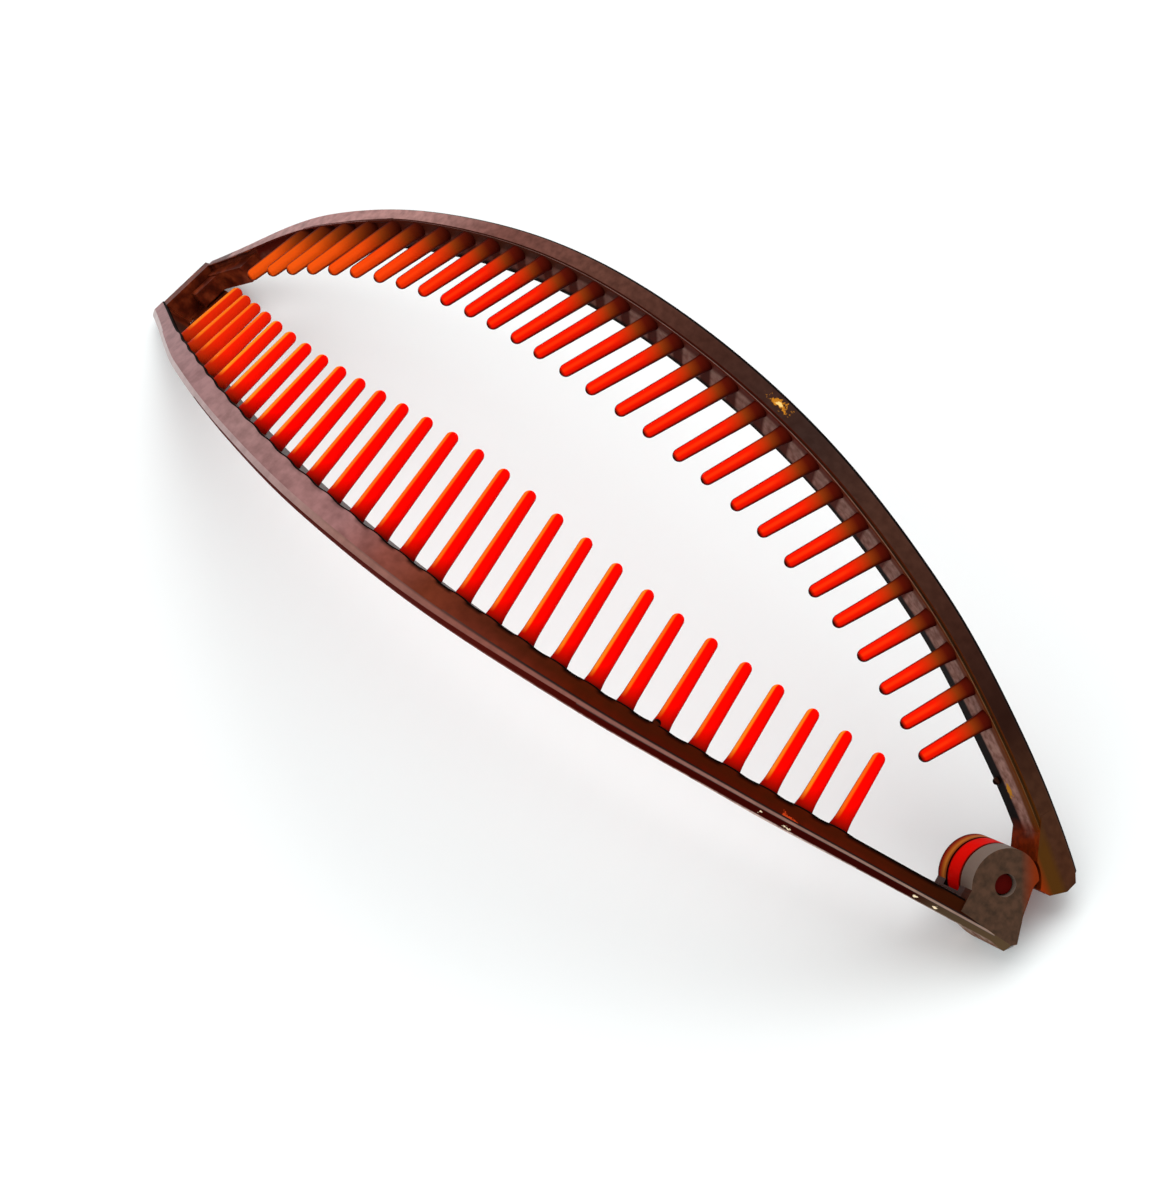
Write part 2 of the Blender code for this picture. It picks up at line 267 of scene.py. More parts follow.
# %% [markdown]
# The teeth stand at even steps along each arm's inner edge. Their places are needed before the arms are
# made, because the lower arm's edge swells a little round each tooth, where the molten plastic ran into the
# comb.

# %% Where the teeth stand
TEETH = [
    # along  lower_reach  upper_reach  lower_trail  upper_trail
    (-65.0, 9.1, 8.6, 2.7, 2.8),
    (-35.0, 11.6, 9.4, 2.6, 2.7),
    (-15.0, 13.8, 10.7, 3.6, 2.9),
    (0.0, 15.0, 11.3, 3.9, 3.4),
    (15.0, 13.8, 10.9, 3.8, 2.9),
    (30.0, 11.9, 9.8, 3.0, 2.6),
    (62.0, 8.8, 8.4, 2.0, 2.2),
]
LOWER = -1
UPPER = 1
TEETH_SPAN = {LOWER: (-60.9, 55.4, 28), UPPER: (-58.0, 58.5, 29)}
WALK_STEPS = 400


def outer_edge(side, along):
    return smooth(ARCH, 2 if side == LOWER else 3, along)


def arm_width(side, along):
    return smooth(SECTION, 1 if side == LOWER else 2, along)


def inner_edge(side, along):
    return outer_edge(side, along) - side * arm_width(side, along)


def tooth_places(side):
    start, end, count = TEETH_SPAN[side]
    walked = [0.0]
    for i in range(WALK_STEPS):
        near = start + (end - start) * i / WALK_STEPS
        far = start + (end - start) * (i + 1) / WALK_STEPS
        sideways = inner_edge(side, far) - inner_edge(side, near)
        walked.append(walked[-1] + ((far - near) ** 2 + sideways ** 2) ** 0.5)
    places = []
    for tooth in range(count):
        target = walked[-1] * tooth / (count - 1)
        index = min(i for i, length in enumerate(walked) if length >= target - 1e-9)
        places.append(start + (end - start) * index / WALK_STEPS)
    return places


TOOTH_PLACES = {side: tooth_places(side) for side in (LOWER, UPPER)}
print("teeth", {side: len(found) for side, found in TOOTH_PLACES.items()})

# %% [markdown]
# An arm is a bar with a shaped section. The lower arm has a bevel along its outer edge, wide at the crown
# and thin at the hinge, and toward the hinge a steep strip below the bevel. The upper arm has a sunk step
# beside its inner edge, which ends in a fine bead. Both have small rounded corners, because a moulded edge
# is never sharp. Beside each corner one more row of points keeps the flat face flat under smooth shading.

# %% The arms
ARM_STEP = 0.5
LOWER_END = -75.6
UPPER_END = -73.75
ARM_PAST_PIN = 5.2
SWELL = 0.18
ROUND = 0.12
STRIP_HEIGHT = 1.5
BEVEL_FALL = 0.45
FLAT_RAISED = 0.02
SUNK_MOST = 0.25
BEAD = 0.22
LIP = 0.8
LIP_MIDDLE = -60.0
LIP_HALF = 19.0


def swell(side, along):
    """How far the lower arm's edge swells round its teeth."""
    places = TOOTH_PLACES[side]
    pitch = (places[-1] - places[0]) / (len(places) - 1)
    nearest = min(abs(along - tooth) for tooth in places)
    return SWELL * cos(pi / 2.0 * min(1.0, nearest / (pitch / 2.0))) ** 2


def lower_section(along):
    """The lower arm's section at one place: (inward, proud) points all round it."""
    width = arm_width(LOWER, along)
    back = FACE - smooth(SECTION, 3, along)
    lean = smooth(SECTION, 5, along)
    bevel = smooth(SECTION, 6, along)
    strip = smooth(SECTION, 8, along)
    drop = BEVEL_FALL * bevel
    inner = width + swell(LOWER, along) - SWELL / 2.0
    return [
        (0.0, FACE - drop - STRIP_HEIGHT),
        (strip, FACE - drop - ROUND),
        (strip + ROUND, FACE - drop),
        (strip + bevel, FACE),
        (strip + bevel + ROUND, FACE + FLAT_RAISED),
        (strip + bevel + 2.0 * ROUND, FACE + FLAT_RAISED),
        (inner - 3.0 * ROUND, FACE + FLAT_RAISED),
        (inner - 2.0 * ROUND, FACE + FLAT_RAISED),
        (inner - ROUND / 2.0, FACE - ROUND / 2.0),
        (inner, FACE - 2.0 * ROUND),
        (width - SWELL / 2.0, FACE - 5.0 * ROUND),
        (lean + width, back + 2.0 * ROUND),
        (lean + width - 2.0 * ROUND, back),
        (lean + 4.0 * ROUND, back),
        (lean, back + 4.0 * ROUND),
    ]


def upper_corner(along):
    """The upper arm's corner is finer where the arm runs out thin at the clasp."""
    return min(ROUND, arm_width(UPPER, along) / 20.0)


def upper_lip(along):
    """Toward the clasp the near face reaches in over the tooth roots as a thin lip."""
    return LIP * max(0.0, 1.0 - ((along - LIP_MIDDLE) / LIP_HALF) ** 2)


def upper_section(along):
    """The upper arm's section at one place: (inward, proud) points all round it."""
    width = arm_width(UPPER, along)
    back = FACE - smooth(SECTION, 4, along)
    lean = smooth(SECTION, 5, along)
    step = smooth(SECTION, 7, along)
    sunk = min(SUNK_MOST, step)
    corner = upper_corner(along)
    bead = min(BEAD, width / 5.0)
    inner = width + upper_lip(along)
    return [
        (0.0, FACE - 4.0 * corner),
        (corner, FACE - 2.0 * corner),
        (3.0 * corner, FACE - corner / 3.0),
        (4.0 * corner, FACE),
        (5.0 * corner, FACE),
        (inner - bead - step - corner, FACE),
        (inner - bead - step, FACE),
        (inner - bead - step + corner, FACE - sunk),
        (inner - bead - corner / 2.0, FACE - sunk),
        (inner - bead, FACE - corner / 2.0),
        (inner - corner, FACE),
        (inner, FACE - 2.0 * corner),
        (width, FACE - 4.0 * ROUND),
        (lean + width, back + 2.0 * ROUND),
        (lean + width - 2.0 * ROUND, back),
        (lean + 4.0 * ROUND, back),
        (lean, back + 4.0 * ROUND),
    ]


def arm(name, side, start):
    end = PIN_ALONG + ARM_PAST_PIN
    count = round((end - start) / ARM_STEP)
    section = lower_section if side == LOWER else upper_section
    rings = []
    for i in range(count + 1):
        along = start + (end - start) * i / count
        edge = outer_edge(side, along)
        rings.append([place(along, edge - side * inward, proud) for inward, proud in section(along)])
    bm = bmesh.new()
    skin(bm, rings)
    return make_object(name, bm)


lower_arm = arm("lower_arm", LOWER, LOWER_END)
upper_arm = arm("upper_arm", UPPER, UPPER_END)
print("arms", len(lower_arm.data.vertices), len(upper_arm.data.vertices), "points")

# %% [markdown]
# The hinge is a knuckle of three plates on one pin: the lower arm's two ears with the upper arm's lug
# between them. Turned cylinders would give round plates only, and these run out into the arms. So each is
# an outline in the hinge's own frame, drawn up between two levels, with room round it so that the joint can
# turn without touching.

# %% The hinge
PIN_R = 1.1
EAR_HOLE_R = 1.3
LUG_HOLE_R = 1.4
EAR_R = 4.1
LUG_R = 4.1
KNUCKLE_CLEAR = 0.4
PIN_SUNK = 0.6
SLOT_REACH = 12.0
LUG_BLOCK_BELOW = 0.6
FRONT_EAR = (-0.5, 2.2)
LUG = (-3.6, -0.8)
REAR_EAR = (-5.8, -3.9)
ROUND_SIDES = 72
CUT_PAST = 1.0
EAR_ARC = (52.0, 232.0)
EAR_CORNERS = [
    # level  corners, each (ahead, across)
    (REAR_EAR[0], (-1.7, -5.7), (5.2, -4.8), (5.7, -3.4)),
    (FRONT_EAR[1] - STRIP_HEIGHT, (-1.7, -5.7), (6.3, -4.5), (6.7, -3.5)),
    (FRONT_EAR[1], (-1.7, -5.6), (5.7, -3.8), (6.1, -3.2)),
]
EAR_END = [(4.25, -0.75), (2.6, 2.3)]
SLOT_ARC = (-160.0, -10.0)
ROOM_ARC = (-60.0, 240.0)
LUG_BLOCK = [(-2.6, 8.0), (0.4, 4.9), (3.0, 2.5), (4.9, 3.1), (6.1, 4.9), (6.1, 6.3), (5.3, 6.9),
             (-2.4, 9.2)]


def arc(radius, start, end):
    count = max(2, round(ROUND_SIDES * abs(end - start) / 360.0))
    points = []
    for i in range(count + 1):
        turn = radians(start + (end - start) * i / count)
        points.append((radius * cos(turn), radius * sin(turn)))
    return points


def plate(name, outline, low, high):
    """A flat plate in the hinge's frame, from one level to another."""
    bm = bmesh.new()
    skin(bm, [[HINGE @ Vector((a, b, level)) for a, b in outline] for level in (low, high)])
    return make_object(name, bm)


def disc(name, radius, low, high):
    return plate(name, arc(radius, 0.0, 360.0)[:-1], low, high)


def ears():
    """Both ears as one block. The arm's strip runs on along its lower edge as a slope."""
    rings = []
    for level, *corners in EAR_CORNERS:
        outline = arc(EAR_R, *EAR_ARC) + corners + EAR_END
        rings.append([HINGE @ Vector((a, b, level)) for a, b in outline])
    bm = bmesh.new()
    skin(bm, rings)
    return make_object("ears", bm)


def slot_outline():
    """The slot between the ears: round under the pin, and open toward the upper comb."""
    under = arc(EAR_R + KNUCKLE_CLEAR, *SLOT_ARC)
    beside = [(SLOT_REACH, under[-1][1]), (SLOT_REACH, SLOT_REACH), (-SLOT_REACH, SLOT_REACH)]
    return under + beside + [(-SLOT_REACH, under[0][1])]


combine(lower_arm, ears(), "UNION")
combine(lower_arm, plate("slot", slot_outline(), REAR_EAR[1], FRONT_EAR[0]), "DIFFERENCE")
ear_hole = disc("ear_hole", EAR_HOLE_R, REAR_EAR[0] - CUT_PAST, FRONT_EAR[1] + CUT_PAST)
combine(lower_arm, ear_hole, "DIFFERENCE")
combine(upper_arm, plate("lug_block", LUG_BLOCK, LUG[0] - LUG_BLOCK_BELOW, FACE), "UNION")
ROOM = arc(EAR_R + KNUCKLE_CLEAR, *ROOM_ARC) + [(0.0, -2.0 * EAR_R)]
combine(upper_arm, plate("front_room", ROOM, LUG[1], SLOT_REACH), "DIFFERENCE")
combine(upper_arm, plate("rear_room", ROOM, -SLOT_REACH, LUG[0]), "DIFFERENCE")
combine(upper_arm, disc("lug", LUG_R, LUG[0], LUG[1]), "UNION")
lug_hole = disc("lug_hole", LUG_HOLE_R, LUG[0] - CUT_PAST, LUG[1] + CUT_PAST)
combine(upper_arm, lug_hole, "DIFFERENCE")
hinge_pin = disc("pin", PIN_R, REAR_EAR[0] + PIN_SUNK / 2.0, FRONT_EAR[1] - PIN_SUNK)
print("the knuckle is", EAR_R * 2.0, "mm across")

# %% [markdown]
# At the clasp the lower comb ends in a wall across the clip, with a thin pierced web behind it, and the
# upper comb's end turns in over the web with a short tongue. Squeezing the clip slips the tongue out. These
# are straight bars, so a beam between two ends is enough for each. Last, both ends are ground flat where
# they stand.

# %% The clasp
CATCH_THICK = 1.6
CATCH_PROUD = 0.15
CATCH_ACROSS = (-9.4, -1.3)
CATCH_WEB = ((-74.4, -9.6, -2.2), (-69.3, -9.6, -2.6))
WEB_PROUD = (-1.7, -1.4)
WEB_HOLES = ((-72.8, -7.9), (-70.4, -7.4), (-71.0, -4.0))
HOLE_HALF_LONG = 0.65
HOLE_HALF_WIDE = 0.4
HOLE_ABOVE = 0.04
NECK_END = (-73.5, -2.7, 0.2)
NECK_ROOT = (-66.5, -0.2, 2.9)
NECK_PROUD = (-1.3, 1.1)
TONGUE_ALONG = (-73.4, -71.7)
TONGUE_ACROSS = (-5.6, -1.9)
TONGUE_PROUD = (-1.1, 0.9)
FLOOR_BLOCK = 0.4


def beam(name, start, end, low, high):
    """A straight-sided bar along the spine between two ends, each an (along, across from, across to)."""
    rings = []
    for along, across_from, across_to in (start, end):
        rings.append([
            place(along, across_from, low),
            place(along, across_to, low),
            place(along, across_to, high),
            place(along, across_from, high),
        ])
    bm = bmesh.new()
    skin(bm, rings)
    return make_object(name, bm)


WALL_LOW = FACE - smooth(SECTION, 3, LOWER_END) + CATCH_PROUD
WALL_OUT = (LOWER_END - CATCH_PROUD, *CATCH_ACROSS)
WALL_IN = (LOWER_END + CATCH_THICK, *CATCH_ACROSS)
combine(lower_arm, beam("catch", WALL_OUT, WALL_IN, WALL_LOW, FACE - CATCH_PROUD), "UNION")
combine(lower_arm, beam("catch_web", *CATCH_WEB, *WEB_PROUD), "UNION")
for along, across in WEB_HOLES:
    sides = (across - HOLE_HALF_WIDE, across + HOLE_HALF_WIDE)
    ends = [(along + past, *sides) for past in (-HOLE_HALF_LONG, HOLE_HALF_LONG)]
    hole = beam("web_hole", *ends, WEB_PROUD[0] - CUT_PAST, WEB_PROUD[1] + HOLE_ABOVE)
    combine(lower_arm, hole, "DIFFERENCE")
combine(upper_arm, beam("neck", NECK_END, NECK_ROOT, *NECK_PROUD), "UNION")
TONGUE_TIP, TONGUE_ROOT = [(along, *TONGUE_ACROSS) for along in TONGUE_ALONG]
combine(upper_arm, beam("tongue", TONGUE_TIP, TONGUE_ROOT, *TONGUE_PROUD), "UNION")


def trim_feet(piece):
    """Grinds a piece's ends flat where they stand on the floor."""
    bm = bmesh.new()
    under_floor = Matrix.Translation((0.0, 0.0, -FLOOR_BLOCK / 2.0))
    bmesh.ops.create_cube(bm, size=FLOOR_BLOCK, matrix=under_floor)
    combine(piece, make_object("floor_block", bm), "DIFFERENCE")


trim_feet(lower_arm)
trim_feet(upper_arm)
print("the clasp's web is", round(WEB_PROUD[1] - WEB_PROUD[0], 1), "mm thick")

# %% [markdown]
# Where the mould's halves don't quite close, a little plastic creeps out and stays as a small nub. A few
# sit on the arms' inner edges, each a small ball joined to its arm.

# %% Nubs of flash
NUBS = [
    # side  along  off_the_edge  proud  half_width
    (LOWER, -0.3, 0.0, 1.55, 0.32),
    (LOWER, 17.6, 0.1, 1.5, 0.36),
    (LOWER, 34.0, 0.1, 1.6, 0.55),
    (UPPER, 65.6, 0.5, -3.4, 0.45),
]


def nub(side, along, off, proud, half_width):
    """A small ball near an arm's inner edge."""
    bm = bmesh.new()
    bmesh.ops.create_icosphere(bm, subdivisions=3, radius=half_width * MM)
    bm.transform(Matrix.Translation(place(along, inner_edge(side, along) - side * off, proud)))
    return make_object("nub", bm)


for side, *where in NUBS:
    combine(lower_arm if side == LOWER else upper_arm, nub(side, *where), "UNION")
print("nubs", len(NUBS))

# %% [markdown]
# A tooth is a slim round peg with a domed tip. Its root widens sideways into the arm and stays under the
# arm's face, as a mould has to leave it. All the teeth of one comb are one mesh. Each point also keeps
# numbers for its colour: how far it lies from the root and from the tip, where along the comb the tooth
# stands, and how far round the tooth it lies from the ridge that the light falls on, which places the
# painted highlights and the painted shade on the teeth's sides. The ridge wanders round the teeth as the
# arch turns them.

# %% The teeth
TOOTH_PROUD = 1.0
TIP_RISE = {LOWER: -1.1, UPPER: 0.2}
TOOTH_ROOT_R = 0.98
TOOTH_TIP_R = 0.75
TOOTH_SIDES = 20
TOOTH_BITE = 1.2
FLARE = 0.16
FLARE_LENGTH = 1.8
ROOT_HEIGHT = 0.92
BURIED_R = 0.5
DOME = 1.05
ROOT_STAGES = (-0.3, 0.0, 0.3, 0.7, 1.2)
SHAFT_FROM = 1.5
SHAFT_SHORTER = 2.6
SHAFT_STEPS = 8
TIP_LENGTH = 0.8
TIP_STAGES = (1.0, 0.75, 0.5, 0.3, 0.15, 0.05, 0.01)
LUCK_TURN = 12.9
RIDGE_AT_CROWN = -27.0
RIDGE_TURN = 0.66


def tooth_size(distance, length):
    """A tooth's half width and half height at a distance from its root."""
    if distance < 0.0:
        buried = 1.0 + distance / TOOTH_BITE * (1.0 - BURIED_R)
        return (TOOTH_ROOT_R + FLARE) * buried, ROOT_HEIGHT * buried
    wide = TOOTH_ROOT_R + (TOOTH_TIP_R - TOOTH_ROOT_R) * distance / length
    high = min(wide, ROOT_HEIGHT)
    wide += FLARE * max(0.0, 1.0 - distance / FLARE_LENGTH) ** 2
    dome = TOOTH_TIP_R * DOME
    past = distance - (length - dome)
    if past > 0.0:
        closing = max(0.0, 1.0 - (past / dome) ** 2) ** 0.5
        wide *= closing
        high *= closing
    return wide, high


def tooth_rings(side, along):
    """A tooth's rings from root to tip, and its length."""
    root_across = inner_edge(side, along)
    reach = smooth(TEETH, 1 if side == LOWER else 2, along)
    trail = smooth(TEETH, 3 if side == LOWER else 4, along)
    root = place(along, root_across, TOOTH_PROUD)
    forward = (place(along + 1.0, root_across, TOOTH_PROUD) - root).normalized()
    outward = (place(along, root_across, TOOTH_PROUD + 1.0) - root).normalized()
    crosswise = Vector((0.0, -float(side), 0.0))
    tip = root + (crosswise * reach - forward * trail + outward * TIP_RISE[side]) * MM
    axis = (tip - root).normalized()
    right = axis.cross(outward).normalized()
    up = right.cross(axis)
    length = (tip - root).length / MM
    ridge = radians(RIDGE_AT_CROWN + RIDGE_TURN * along)
    shaft = length - SHAFT_SHORTER
    stages = [-TOOTH_BITE, *ROOT_STAGES]
    stages += [SHAFT_FROM + shaft * i / SHAFT_STEPS for i in range(SHAFT_STEPS + 1)]
    stages += [length - TIP_LENGTH * part for part in TIP_STAGES]
    rings = []
    for distance in stages:
        wide, high = tooth_size(distance, length)
        centre = root + axis * distance * MM
        ring = []
        for i in range(TOOTH_SIDES):
            turn = 2.0 * pi * (i + 0.5) / TOOTH_SIDES
            point = centre + (right * wide * cos(turn) + up * high * sin(turn)) * MM
            ring.append((point, distance, side * cos(turn) * cos(ridge) - sin(turn) * sin(ridge)))
        rings.append(ring)
    return rings, length


def teeth(name, side):
    """All the teeth of one comb as one mesh, with the numbers for their colour."""
    bm = bmesh.new()
    reach_layer = bm.verts.layers.float_vector.new("tooth_reach")
    side_layer = bm.verts.layers.float_vector.new("tooth_side")
    for along in TOOTH_PLACES[side]:
        rings, length = tooth_rings(side, along)
        luck = 0.5 + 0.5 * sin(along * LUCK_TURN)
        loops = []
        for ring in rings:
            loop = []
            for point, distance, off_ridge in ring:
                vert = bm.verts.new(point)
                vert[reach_layer] = (distance, length - distance, along)
                vert[side_layer] = (off_ridge, 0.0, luck)
                loop.append(vert)
            loops.append(loop)
        join(bm, loops)
    return make_object(name, bm)


lower_teeth = teeth("lower_teeth", LOWER)
upper_teeth = teeth("upper_teeth", UPPER)
print("teeth have", len(lower_teeth.data.vertices) + len(upper_teeth.data.vertices), "points")

# %% [markdown]
# Colour follows the clip's own places and not the room's, so that it stays put when the hinge opens. A
# picture wrapped round the arms could carry it, but it blurs close up. So each point of the arms gets
# attributes: its place on the clip, how far it is from the arm's outer and inner edge and from the nearest
# tooth, how far over the bevel and above the back it lies, and its place round the hinge. The shaders read
# them.


# %% Places on the clip for the shaders
FAR_OFF = 12.0
FAR_COST = 100.0


def clip_places(co):
    """Turns points in metres into (along, across, proud) rows in millimetres."""
    back = np.array(SET_DOWN.inverted())
    local = co @ back[:3, :3].T + back[:3, 3]
    along, x, z = np.array(SPINE).T
    slope = np.radians([smooth(ARCH, 1, value) for value in along])
    dx = local[:, :1] - x
    dz = local[:, 2:] - z
    ahead = dx * np.cos(slope) + dz * np.sin(slope)
    proud = dz * np.cos(slope) - dx * np.sin(slope)
    best = (np.abs(ahead) + FAR_COST * (np.abs(proud) > FAR_OFF)).argmin(axis=1)
    rows = np.arange(len(co))
    found = along[best] + ahead[rows, best]
    return np.stack([found, local[:, 1], proud[rows, best]], axis=1), slope[best]


def arm_places(side, co):
    """For points in metres: clip places, (inward, from the inner edge, from the nearest tooth), slopes."""
    places, slope = clip_places(co)
    along = places[:, 0]
    inward = side * (np.array([outer_edge(side, value) for value in along]) - places[:, 1])
    width = np.array([arm_width(side, value) for value in along])
    nearest = np.abs(along[:, None] - np.array(TOOTH_PLACES[side])).min(axis=1)
    return places, np.stack([inward, width - inward, nearest], axis=1), slope


def hinge_places(co):
    """For points in metres: their places in the hinge's own frame, in millimetres."""
    back = np.array(HINGE.inverted())
    return co @ back[:3, :3].T + back[:3, 3]


def read_points(mesh):
    co = np.empty(len(mesh.vertices) * 3)
    mesh.vertices.foreach_get("co", co)
    return co.reshape(-1, 3)


def mark_places(piece, side):
    co = read_points(piece.data)
    places, edges, _ = arm_places(side, co)
    strips = np.array([smooth(SECTION, 8, along) for along in places[:, 0]])
    bevels = np.array([smooth(SECTION, 6, along) for along in places[:, 0]])
    depths = np.array([smooth(SECTION, 3 if side == LOWER else 4, along) for along in places[:, 0]])
    across_bevel = (edges[:, 0] - strips) / bevels
    above_back = places[:, 2] - FACE + depths
    rims = np.stack([across_bevel, above_back, np.zeros(len(co))], axis=1)
    marks = {"clip_place": places, "clip_edge": edges, "clip_rim": rims, "hinge_place": hinge_places(co)}
    for name, values in marks.items():
        made = piece.data.attributes.new(name, "FLOAT_VECTOR", "POINT")
        made.data.foreach_set("vector", values.ravel())


mark_places(lower_arm, LOWER)
mark_places(upper_arm, UPPER)
print("the lower arm carries", [layer.name for layer in lower_arm.data.attributes])

# %% [markdown]
# The clip is injection moulded in clear styrene, coloured through. Where it is thick it swallows the light
# and looks brown, and where it is thin light passes and it glows red. A see-through material with real
# absorption could show that, but it is slow to render and its colour hangs on every wall's thickness. So
# each finish below is one thickness of the same plastic, with a plain surface colour, and that glow is
# painted into the colour, as are much of the sheen, the highlights and the shade. Styrene's own IOR is
# 1.59. The clip shows hardly any mirror sheen, so each finish has its IOR lowered until the sheen is right.
# Colours are sRGB hex values, which one function turns to linear.

# %% Helpers for materials
def linear(hex_colour):
    """Turns an sRGB hex colour into linear values."""
    values = []
    for i in (0, 2, 4):
        part = int(hex_colour[i:i + 2], 16) / 255.0
        values.append(part / 12.92 if part <= 0.04045 else ((part + 0.055) / 1.055) ** 2.4)
    return (*values, 1.0)


def new_material(name, roughness, ior):
    made = bpy.data.materials.new(name)
    made.use_nodes = True
    shader = made.node_tree.nodes["Principled BSDF"]
    shader.inputs["Roughness"].default_value = roughness
    shader.inputs["IOR"].default_value = ior
    return made, shader


def connect(tree, target, source):
    """Feeds an input from a node's first output in use, from a socket, a hex colour or a number."""
    if isinstance(source, bpy.types.Node):
        source = next(output for output in source.outputs if output.enabled)
    if isinstance(source, bpy.types.NodeSocket):
        tree.links.new(source, target)
    else:
        target.default_value = linear(source) if isinstance(source, str) else source


def add_node(tree, kind, settings=None, links=None):
    """Adds a node. Settings are its properties or inputs by name, links are inputs by name or number."""
    node = tree.nodes.new("ShaderNode" + kind)
    for key, value in (settings or {}).items():
        if key in node.bl_rna.properties:
            setattr(node, key, value)
        else:
            node.inputs[key].default_value = value
    for key, source in (links or {}).items():
        connect(tree, node.inputs[key], source)
    return node


# %% [markdown]
# The settings that come up again and again get names. A Map Range node turns a distance into a share from 0
# to 1, Math nodes join shares, and a Mix node blends two colours by the share: input 0, with the colours at
# 6 and 7.

# %% Settings used again and again
COLOURS = {"data_type": "RGBA"}
ADD = {"operation": "ADD"}
SUBTRACT = {"operation": "SUBTRACT"}
MULTIPLY = {"operation": "MULTIPLY"}
DIVIDE = {"operation": "DIVIDE"}
MINIMUM = {"operation": "MINIMUM"}
MAXIMUM = {"operation": "MAXIMUM"}
ABSOLUTE = {"operation": "ABSOLUTE"}
LENGTH = {"operation": "LENGTH"}
CLASP_END = -78.0
HINGE_END = 82.0
CLOUDS_FROM = 0.35
CLOUDS_TO = 0.7
FLECKS_PER_MM = 2.2
FLECK_RAGGED = 2.4
FLECK_EDGE = (1.9, 1.7)
print("sRGB 800000 is", round(linear("800000")[0], 3), "in linear light")

# %% [markdown]
# Four patterns serve all the finishes. One reads the places that the points carry. One gives a colour that
# changes with a distance, and its short form changes from the clasp to the hinge. Two use the noise
# texture, whose scale is in clouds per millimetre here, because the places are in millimetres: soft clouds,
# and a single ragged fleck.


# %% Patterns
def read(tree, attribute):
    """The three numbers of an attribute, as sockets."""
    found = add_node(tree, "Attribute", {"attribute_name": attribute})
    return add_node(tree, "SeparateXYZ", links={0: found.outputs["Vector"]}).outputs


def shade_by(tree, source, low, high, *stops):
    """A colour that changes with a distance, from low to high. Each stop is (distance, hex colour)."""
    share = add_node(tree, "MapRange", links={0: source, 1: low, 2: high})
    shades = add_node(tree, "ValToRGB", links={0: share})
    elements = shades.color_ramp.elements
    while len(elements) < len(stops):
        elements.new(0.5)
    for element, (distance, colour) in zip(elements, stops):
        element.position = (distance - low) / (high - low)
        element.color = linear(colour)
    return shades


def shade_along(tree, *stops):
    """A colour that changes from the clasp to the hinge. Each stop is (along, hex colour)."""
    return shade_by(tree, read(tree, "clip_place")[0], CLASP_END, HINGE_END, *stops)


def mottled(tree, colour, other, size, amount):
    """Clouds a colour a little, as moulded plastic is never quite even. size is in millimetres."""
    place_of = add_node(tree, "Attribute", {"attribute_name": "clip_place"}).outputs["Vector"]
    clouds = add_node(tree, "TexNoise", {"Scale": 1.0 / size, "Detail": 4.0}, {"Vector": place_of})
    depth = add_node(tree, "MapRange", links={0: clouds, 1: CLOUDS_FROM, 2: CLOUDS_TO})
    share = add_node(tree, "Math", MULTIPLY, {0: depth, 1: amount})
    return add_node(tree, "Mix", COLOURS, {0: share, 6: colour, 7: other})


def fleck(tree, colour, paint, centre, reach):
    """Paints one small ragged fleck round a place on the clip: flaws, and painted glints and highlights.
    centre and reach are in millimetres.
    """
    place_of = add_node(tree, "Attribute", {"attribute_name": "clip_place"}).outputs["Vector"]
    off = add_node(tree, "VectorMath", SUBTRACT, {0: place_of, 1: centre})
    part = add_node(tree, "VectorMath", DIVIDE, {0: off, 1: reach})
    far = add_node(tree, "VectorMath", LENGTH, {0: part})
    clouds = add_node(tree, "TexNoise", {"Scale": FLECKS_PER_MM, "Detail": 3.0}, {"Vector": place_of})
    ragged = add_node(tree, "Math", MULTIPLY, {0: clouds, 1: FLECK_RAGGED})
    edge = add_node(tree, "Math", ADD, {0: far, 1: ragged})
    share = add_node(tree, "MapRange", links={0: edge, 1: FLECK_EDGE[0], 2: FLECK_EDGE[1]})
    return add_node(tree, "Mix", COLOURS, {0: share, 6: colour, 7: paint})


# %% [markdown]
# The lower arm's near face is a deep brown toward the hinge, and toward the clasp a painted reflection of
# the bright room turns it dull mauve. It was polished in the mould, so it has a broad soft sheen. Past the
# crown its inner half is painted darker as shade, and between the teeth its inner edge is painted black, as
# shade where the light can't get in. One red spot near the hinge is a flaw of the colour.

# %% The lower arm's near face
FACE_ROUGH = 0.28
RED_SPOT = ((51.1, -12.4, 2.0), (1.3, 0.7, 1.0))


def finish_lower_face():
    made, shader = new_material("lower_face_polished_painted_sheen_styrene", FACE_ROUGH, 1.08)
    tree = made.node_tree
    # Toward the clasp the mauve is a painted reflection of the bright room; toward the hinge the brown is
    # the plastic's own.
    colour = shade_along(tree, (-75.0, "987474"), (-48.0, "967070"), (-33.0, "967270"), (-9.0, "946866"),
                         (-2.0, "80463C"), (5.0, "6C301E"), (13.0, "66281A"), (25.0, "581404"),
                         (36.0, "4C0A02"), (46.0, "560C02"), (58.0, "5E1406"), (67.0, "3E1005"),
                         (75.0, "301206"))
    colour = mottled(tree, colour, "2A0C04", 1.4, 0.35)
    along, _, _ = read(tree, "clip_place")
    _, inside, nearest = read(tree, "clip_edge")
    # Painted shade: past the crown the inner half of the face darkens, and between the teeth the inner edge
    # turns black.
    inner_half = add_node(tree, "MapRange", links={0: inside, 1: 2.4, 2: 1.0})
    past_crown = add_node(tree, "MapRange", links={0: along, 1: 4.0, 2: 14.0})
    shaded = add_node(tree, "Math", MULTIPLY, {0: inner_half, 1: past_crown})
    shaded = add_node(tree, "Math", MULTIPLY, {0: shaded, 1: 0.55})
    colour = add_node(tree, "Mix", COLOURS, {0: shaded, 6: colour, 7: "2E1404"})
    black = shade_between_teeth(tree, along, inside, nearest)
    colour = add_node(tree, "Mix", COLOURS, {0: black, 6: colour, 7: "060201"})
    connect(tree, shader.inputs["Base Color"], fleck(tree, colour, "B83A14", *RED_SPOT))
    return made


